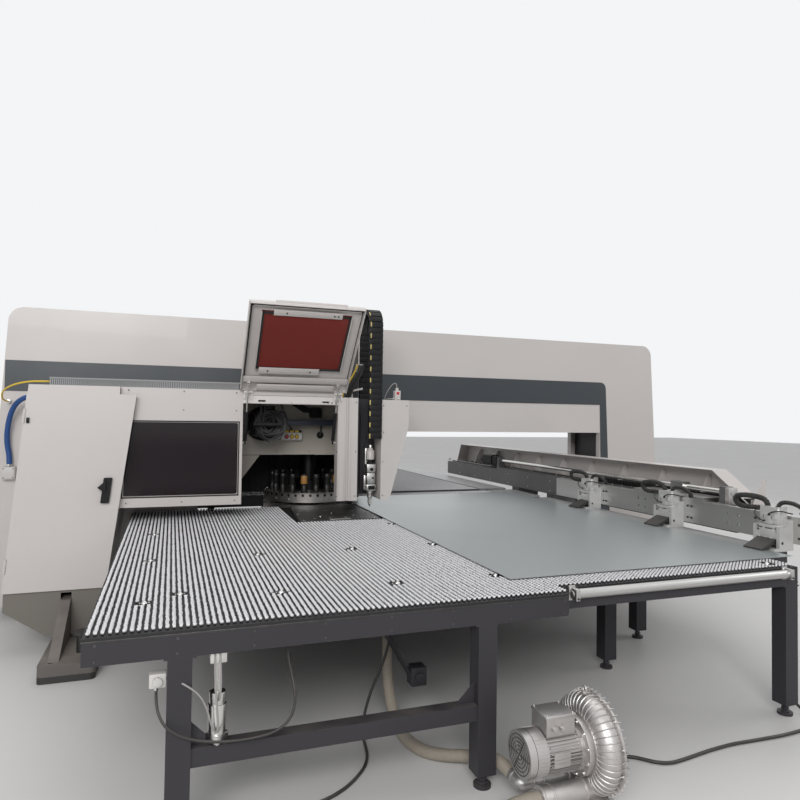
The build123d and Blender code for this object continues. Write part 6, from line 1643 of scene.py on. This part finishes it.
@dataclass
class Beam:
    """Rack, bearing blocks, hood ribs, stops and lines along the cross beam."""

    front: float = -2.42
    back: float = 2.29
    top: float = 0.99
    rib_step: float = 0.471
    chain_end: float = -0.7

    def build(self) -> None:
        """Makes the fixed parts of the beam."""
        rack = Shape().box((1.764, self.front + 0.05, 0.99), (1.776, self.back - 0.05, 1.0), 0.001)
        tooth = Shape().box((1.764, 0.0, 1.0), (1.776, 0.0055, 1.0045))
        count = int((self.back - self.front - 0.12) // 0.011)
        rack.repeat(tooth, [at((0, self.front + 0.06 + index * 0.011, 0)) for index in range(count)])
        rack.piece("beam_rack", DARK_STEEL, "beam")
        ribs = Shape()
        for index in range(11):
            y = self.front + 0.005 + index * self.rib_step * 0.9935
            ribs.prism([(1.868, y, 0.992), (1.996, y, 0.992), (1.996, y, 1.175), (1.962, y, 1.175)],
                (0, 0.006, 0))
        ribs.box((1.862, self.front + 0.002, 0.99), (1.88, self.back - 0.002, 0.996), 0.001)
        ribs.piece("hood_ribs", WHITE, "beam")
        blocks = Shape()
        for y in (-2.335, 0.955):
            blocks.box((1.752, y, 1.0), (1.828, y + 0.04, 1.118), 0.004)
            blocks.bar(1.79, (y - 0.006, y + 0.046), 1.085, 0.027, 0.002)
        blocks.box((1.728, self.front + 0.004, 1.008), (1.748, self.front + 0.05, 1.03), 0.003)
        blocks.box((1.728, self.back - 0.05, 1.008), (1.748, self.back - 0.004, 1.03), 0.003)
        blocks.piece("screw_bearings", CASTING, "beam")
        heads = Shape()
        for index in range(38):
            y = self.front + 0.045 + index * 0.125
            for x in (1.745, 1.841):
                heads.join(cap_screw(0.005, 0.003), at((x, y, 1.0085)))
        spots = [(x, self.front, z) for x in (1.745, 1.98) for z in (0.85, 0.91, 0.97)]
        heads.join(screws(spots, FRONT, 0.007, 0.005))
        spots = [(1.722, self.front + 0.12 + index * 0.42, z) for index in range(12) for z in (0.862, 0.958)]
        heads.join(screws(spots, LEFT, 0.006, 0.004))
        heads.piece("beam_screws", STEEL, "beam")
        lines = Shape()
        for shift, radius in ((0.0, 0.009), (0.019, 0.007), (0.034, 0.006)):
            points = [(1.89 + shift + 0.003 * (index % 2), self.chain_end + index * 0.29,
                0.997 + radius) for index in range(10)]
            lines.hose(points, radius)
        link = Shape()
        for x in (1.872, 1.948):
            link.box((x, -0.017, 0.998), (x + 0.005, 0.021, 1.046), 0.0015)
        for height in (1.0, 1.04):
            link.box((1.876, -0.014, height), (1.949, 0.014, height + 0.004), 0.001)
        count = int((self.chain_end - self.front - 0.04) // 0.04)
        places = [at((0, self.front + 0.04 + index * 0.04, 0)) for index in range(count)]
        Shape().repeat(link, places).piece("beam_chain", BLACK_PLASTIC, "beam")
        lines.ribbed([(1.85, 1.1, 1.06), (1.862, 1.16, 1.06), (1.884, 1.24, 1.05), (1.898, 1.34, 1.02),
            (1.9, 1.44, 1.008), (1.9, 1.58, 1.006)], 0.01)
        lines.piece("beam_lines", RUBBER, "beam")


@dataclass
class Table:
    """Brackets, plugs, screws, gauge bar and feet of the brush table."""

    fascia_low: float = 0.695
    legs: Spots = (
        (-1.79, -3.197), (-0.556, -3.197), (1.31, -3.107), (0.795, -2.275), (1.376, -1.876), (-1.79, -1.1),
        (-0.556, -1.1), (0.795, -1.1), (-2.069, 1.1), (-0.556, 1.1), (1.31, 1.1), (-2.069, 3.592),
        (-0.556, 3.592), (1.31, 3.592))

    def build(self) -> None:
        """Makes the table's small parts."""
        plates = Shape()
        for x, y in self.legs:
            plates.box((x - 0.056, y - 0.0425, self.fascia_low - 0.007),
                (x + 0.056, y + 0.0425, self.fascia_low - 0.0005), 0.0015)
            plates.bar(x, y, (0.026, 0.04), 0.02, sides=6, soft=0.0015)
            plates.bar(x, y, (0.0135, 0.02), 0.022, 0.002)
        for x, side in ((-1.747, 1), (-0.599, -1)):
            plates.prism([(x, -3.2, 0.358), (x + side * 0.085, -3.2, 0.358), (x, -3.2, 0.443)], (0, 0.007, 0))
        plates.piece("leg_plates", CHARCOAL)
        bracket = Shape()
        for x in (-0.092, 1.24):
            bracket.box((x, -3.206, 0.742), (x + 0.022, -3.149, 0.796), 0.003)
            bracket.box((x - 0.006, -3.158, 0.735), (x + 0.028, -3.149, 0.802), 0.002)
            bracket.bar((x - 0.004, x + 0.026), -3.176, 0.768, 0.015, 0.002)
        bracket.piece("roller_brackets", STEEL)
        spots = [(-2.07 + index * 0.27, -3.24, z) for index in range(8) for z in (0.712, 0.765)]
        spots += [(-0.1 + index * 0.29, -3.15, 0.712) for index in range(6)]
        heads = screws(spots, FRONT, 0.0045, 0.002)
        for x in (-0.081, 1.251):
            heads.join(cap_screw(0.0055, 0.004), at((x, -3.206, 0.752)) @ FRONT)
        heads.piece("table_screws", DARK_STEEL)
        gauge = Shape().rod((-0.788, -2.6, 0.47), (-0.64, -2.6, 0.222), 0.019, sides=4, soft=0.003)
        gauge.box((-0.668, -2.64, 0.205), (-0.585, -2.56, 0.3), 0.006)
        gauge.bar(-0.788, -2.6, (0.455, 0.7), 0.014)
        gauge.box((-0.82, -2.63, 0.675), (-0.756, -2.57, 0.781), 0.004)
        gauge.bar(-0.626, (-2.641, -2.654), 0.252, 0.024, 0.003)
        gauge.piece("table_support_arm", CHARCOAL)
        edge = Shape().box((-2.1125, -3.2415, 0.7745), (-0.1555, -3.2385, 0.7815), 0.001)
        edge.box((-0.1545, -3.1515, 0.7745), (1.3535, -3.1485, 0.7815), 0.001)
        edge.box((-2.1135, -3.24, 0.7745), (-2.1105, -0.264, 0.7815), 0.001)
        edge.piece("bed_edge_trim", DARK_STEEL)


@dataclass
class Blower:
    """Ribbed ring casing, pipes, cooling fins, fan cowl and bolts of the suction blower."""

    x: float = -0.185
    y: float = -3.423
    z: float = 0.236
    ring_radius: float = 0.143
    tube: float = 0.052
    hoops: int = 46
    port_z: float = 0.088
    port_radius: float = 0.042
    body_radius: float = 0.083

    def rim_place(self, x: float, radius: float, angle: float) -> Point:
        """A point round the blower's axis."""
        return (x, self.y + radius * cos(angle), self.z + radius * sin(angle))

    def casing(self) -> Shape:
        """The ring channel with its hoops, rim, covers and foot."""
        y, z = self.y, self.z
        centre = (self.x, y, z)
        casing = Shape().ring(centre, (1, 0, 0), self.ring_radius, self.tube - 0.001, 96, 20)
        for angle in turns(self.hoops):
            casing.ring(self.rim_place(self.x, self.ring_radius, angle), (0, -sin(angle), cos(angle)),
                self.tube, 0.0026, 22, 4)
            tip = Shape().box((0.02, -0.0016, 0.176), (0.042, 0.0016, 0.2055))
            casing.join(tip, at(centre) @ Matrix.Rotation(angle, 4, "X"))
        casing.bar((self.x + 0.024, self.x + 0.033), y, z, 0.2005, sides=96, soft=0.001)
        casing.bar((-0.262, -0.236), y, z, 0.118, sides=48, soft=0.002)
        casing.bar((-0.236, -0.2), y, z, 0.126, sides=48, far=0.14)
        casing.bar((-0.2, -0.15), y, z, 0.142, sides=48, far=0.096)
        casing.bar((-0.15, -0.138), y, z, 0.06, sides=32, soft=0.002)
        casing.box((self.x - 0.12, y - 0.13, 0.014), (self.x + 0.04, y + 0.13, 0.06), 0.006)
        for x in (self.x - 0.11, self.x + 0.02):
            for side in (-1, 1):
                spot = y + side * 0.11
                casing.box((x, spot - 0.02, 0.0005), (x + 0.034, spot + 0.02, 0.0145), 0.003)
        casing.bar(self.x - 0.02, y, (0.436, 0.447), 0.012, 0.001)
        casing.ring((self.x - 0.02, y, 0.455), (1, 0, 0), 0.011, 0.0035, 24, 8)
        return casing

    def pipes(self) -> Shape:
        """The two silencer pipes, with collars and the elbow to the suction hose."""
        pipes = Shape()
        for side, left in ((-0.058, -0.455), (0.058, -0.43)):
            y = self.y + side
            pipes.bar((left, -0.15), y, self.port_z, self.port_radius, sides=36, soft=0.002)
            for x in (left + 0.001, left + 0.046, -0.262):
                pipes.bar((x, x + 0.01), y, self.port_z, self.port_radius + 0.004, sides=36, soft=0.001)
            for angle in turns(4, 0.5):
                spot = (left + 0.002, y + 0.036 * cos(angle), self.port_z + 0.036 * sin(angle))
                pipes.join(cap_screw(0.0045, 0.004), at(spot) @ LEFT)
        elbow = (-0.466, self.y + 0.058, self.port_z)
        pipes.rod(elbow, (-0.43, self.y + 0.058, self.port_z), 0.032)
        bmesh.ops.create_uvsphere(pipes.bm, u_segments=24, v_segments=16, radius=0.032, matrix=at(elbow))
        pipes.rod(elbow, (elbow[0], -3.305, self.port_z), 0.032)
        pipes.bar(elbow[0], (-3.33, -3.32), self.port_z, 0.0345, 0.001)
        return pipes

    def motor(self) -> None:
        """Adds fins, cowl grille, terminal box lid, caps and a bare plate to the motor."""
        y, z = self.y, self.z
        fins = Shape()
        fin = Shape().box((-0.47, -0.0014, self.body_radius - 0.01),
            (-0.262, 0.0014, self.body_radius + 0.0085))
        for angle in turns(40):
            if abs(remainder(angle, tau)) > 0.62:
                fins.join(fin, at((0, y, z)) @ Matrix.Rotation(angle, 4, "X"))
        fins.piece("motor_fins", CASTING)
        cowl = Shape()
        for radius in (0.02, 0.034, 0.048, 0.062, 0.076):
            cowl.ring((-0.5105, y, z), (1, 0, 0), radius, 0.0018, 40, 6)
        for angle in turns(6):
            cowl.rod((-0.5105, y, z), self.rim_place(-0.5105, 0.078, angle), 0.0018, sides=6)
        cowl.ring((-0.478, y, z), (1, 0, 0), 0.0885, 0.0022, 48, 6)
        cowl.piece("motor_cowl", DARK_STEEL)
        lid = Shape()
        for x in (-0.35, -0.385):
            lid.bar(x, (y - 0.055, y - 0.066), 0.342, 0.0135, sides=6, soft=0.001)
            lid.bar(x, (y - 0.066, y - 0.072), 0.342, 0.0105, 0.001)
        lid.box((-0.424, y - 0.059, 0.38), (-0.286, y + 0.059, 0.392), 0.003)
        lid.box((-0.405, y - 0.0885, 0.205), (-0.33, y - 0.0865, 0.262), 0.001)
        lid.piece("motor_box_lid", CASTING)

    def build(self) -> None:
        """Makes the blower."""
        self.casing().piece("ring_casing", CASTING, stands_for="blower_casing")
        self.pipes().piece("silencer_pipes", CASTING, stands_for="blower_casing")
        self.motor()
        bolts = Shape()
        for x, side in ((-0.414, -1), (-0.296, -1), (-0.414, 1), (-0.296, 1)):
            bolts.join(cap_screw(0.004, 0.003), at((x, self.y + side * 0.049, 0.392)))
        for angle in turns(12, 0.5):
            bolts.join(hex_screw(0.0065, 0.006), at(self.rim_place(-0.262, 0.108, angle)) @ LEFT)
            bolts.join(hex_screw(0.0055, 0.006), at(self.rim_place(self.x + 0.024, 0.194, angle)) @ LEFT)
        bolts.piece("blower_bolts", BRIGHT_STEEL)


@dataclass
class Covers:
    """Seams, screws, louvres and doors on the sheet covers, front and rear."""

    front: float = -0.125
    rear: float = 0.445
    seam_spots: tuple[float, ...] = (-2.08, 0.86, 1.76)

    def louvre(self) -> Shape:
        """One pressed slat, facing backwards from the origin."""
        return Shape().prism([(-0.11, 0, 0), (-0.11, 0.009, -0.003), (-0.11, 0, -0.012)], (0.22, 0, 0))

    def build(self) -> None:
        """Makes the details of the covers."""
        seams = Shape()
        for x in self.seam_spots:
            seams.box((x, self.rear - 0.0004, 1.968), (x + 0.0022, self.rear + 0.0004, 2.345))
        for x in (-2.08, -1.1, 0.5, 1.6):
            seams.box((x, self.rear - 0.0004, 0.48), (x + 0.0022, self.rear + 0.0004, 0.64))
        seams.piece("cover_seams", SEAM_BLACK)
        spots = [(x, self.front, 1.47) for x in (0.3, 0.9, 1.5, 2.1)]
        screws(spots, FRONT, 0.006, 0.003).piece("cover_screws", STEEL)
        slats = Shape()
        places = [at((x, self.rear, 1.66 - row * 0.021)) for x in (0.6, 1.1, 1.6) for row in range(9)]
        slats.repeat(self.louvre(), places)
        for x in (0.6, 1.1, 1.6):
            slats.box((x - 0.14, self.rear - 0.0005, 1.455), (x + 0.14, self.rear + 0.0012, 1.69), 0.0005)
        slats.piece("rear_louvres", WHITE)
        guard = Shape()
        for x in (-1.9, -1.3, -0.7):
            guard.box((x, 0.849, 1.0), (x + 0.52, 0.8525, 1.66), 0.002)
        guard.piece("rear_guard_doors", WHITE)
        locks = Shape()
        for x in (-1.42, -0.82, -0.22):
            locks.bar(x, (0.85, 0.862), 1.33, 0.015, 0.002)
            locks.box((x - 0.004, 0.861, 1.322), (x + 0.004, 0.866, 1.338), 0.001)
        locks.join(screws([(x, 0.8525, z) for x in (-1.88, -1.28, -0.68) for z in (1.03, 1.63)], REAR, 0.006,
            0.003))
        locks.piece("rear_guard_locks", DARK_STEEL)


@dataclass
class Studio:
    """Camera, lamps, sky and floor."""

    place: Point = (-1.8375, -5.665, 1.563)
    right: Point = (0.94107453, -0.33790936, 0.01399989)
    down: Point = (0.02284935, 0.02222541, -0.99949184)
    ahead: Point = (0.3374265, 0.9409162, 0.02863677)
    lens: float = 28.575
    floor_half: float = 45.0

    def camera(self) -> None:
        """Stands the camera where the picture was taken."""
        data = bpy.data.cameras.new("camera")
        data.lens = self.lens
        data.sensor_width = 36.0
        camera = linked("camera", data)
        axes = Matrix((self.right, -Vector(self.down), -Vector(self.ahead))).transposed()
        camera.matrix_world = at(self.place) @ axes.to_4x4()
        bpy.context.scene.camera = camera

    def lamp(self, name: str, place: Point, aim: Point, size: tuple[float, float], power: float) -> None:
        """Hangs a soft rectangular lamp.

        Args:
            name: the lamp's name.
            place: where it hangs.
            aim: the point that it faces.
            size: width and height.
            power: in watts.
        """
        data = bpy.data.lights.new(name, "AREA")
        data.shape = "RECTANGLE"
        data.size, data.size_y = size
        data.energy = power
        lamp = linked(name, data)
        lamp.location = place
        lamp.rotation_euler = (Vector(aim) - Vector(place)).to_track_quat("-Z", "Y").to_euler()

    def light(self) -> None:
        """Hangs the lamps and lights the sky."""
        self.lamp("key_lamp", (-5.0, -9.5, 5.5), (-0.5, -1.0, 0.9), (6.0, 4.0), 190.0)
        self.lamp("top_lamp", (0.5, 0.0, 8.5), (0.0, -0.5, 0.0), (9.0, 5.0), 180.0)
        self.lamp("side_lamp", (9.0, -4.0, 5.5), (0.5, -1.0, 0.8), (5.0, 4.0), 130.0)
        self.lamp("front_lamp", (-3.4, -8.6, 4.2), (-0.9, -0.3, 1.2), (4.0, 2.0), 240.0)
        world = bpy.data.worlds.new("sky")
        world.use_nodes = True
        bpy.context.scene.world = world
        graph = Graph(world.node_tree)
        sky = world.node_tree.nodes["Background"]
        path = graph.add("ShaderNodeLightPath")
        clear = graph.maths("MAXIMUM", path.outputs["Is Glossy Ray"], path.outputs["Is Transmission Ray"])
        seen = graph.maths("MAXIMUM", path.outputs["Is Camera Ray"], clear)
        graph.fill(sky, {"Color": (0.93, 0.94, 0.95), "Strength": graph.remap(seen, 0.0, 1.0, 0.46, 0.97)})
        bpy.context.scene.view_settings.view_transform = "Standard"

    def floor(self) -> None:
        """Lays the pale floor."""
        bm = bmesh.new()
        bmesh.ops.create_grid(bm, x_segments=1, y_segments=1, size=self.floor_half)
        mesh = bpy.data.meshes.new("floor")
        bm.to_mesh(mesh)
        bm.free()
        floor = linked("floor", mesh)
        material = bpy.data.materials.new("pale_floor")
        material.use_nodes = True
        graph = Graph(material.node_tree)
        shader = material.node_tree.nodes["Principled BSDF"]
        cloud = graph.noise(graph.place(), 0.8, 4.0)
        colour = graph.blend(graph.remap(cloud, 0.3, 0.7), (0.72, 0.71, 0.7), (0.68, 0.67, 0.66))
        graph.fill(shader, {"Base Color": colour, "Roughness": 0.5})
        floor.data.materials.append(material)


def main() -> None:
    """Builds the scene."""
    logging.basicConfig(level=logging.INFO)
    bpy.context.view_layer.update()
    studio = Studio()
    studio.camera()
    Cords().build()
    dress_nodes()
    LOG.info("finishes on %d nodes", len(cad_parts))
    for part in (BrushBeds(), EnergyChain(), Hatch(), LaserHead(), Bay(), Turret(), Fittings(), Cabinet(),
            Clamps(), Beam(), Table(), Blower(), Covers()):
        part.build()
    studio.light()
    studio.floor()


if __name__ == "__main__":
    main()
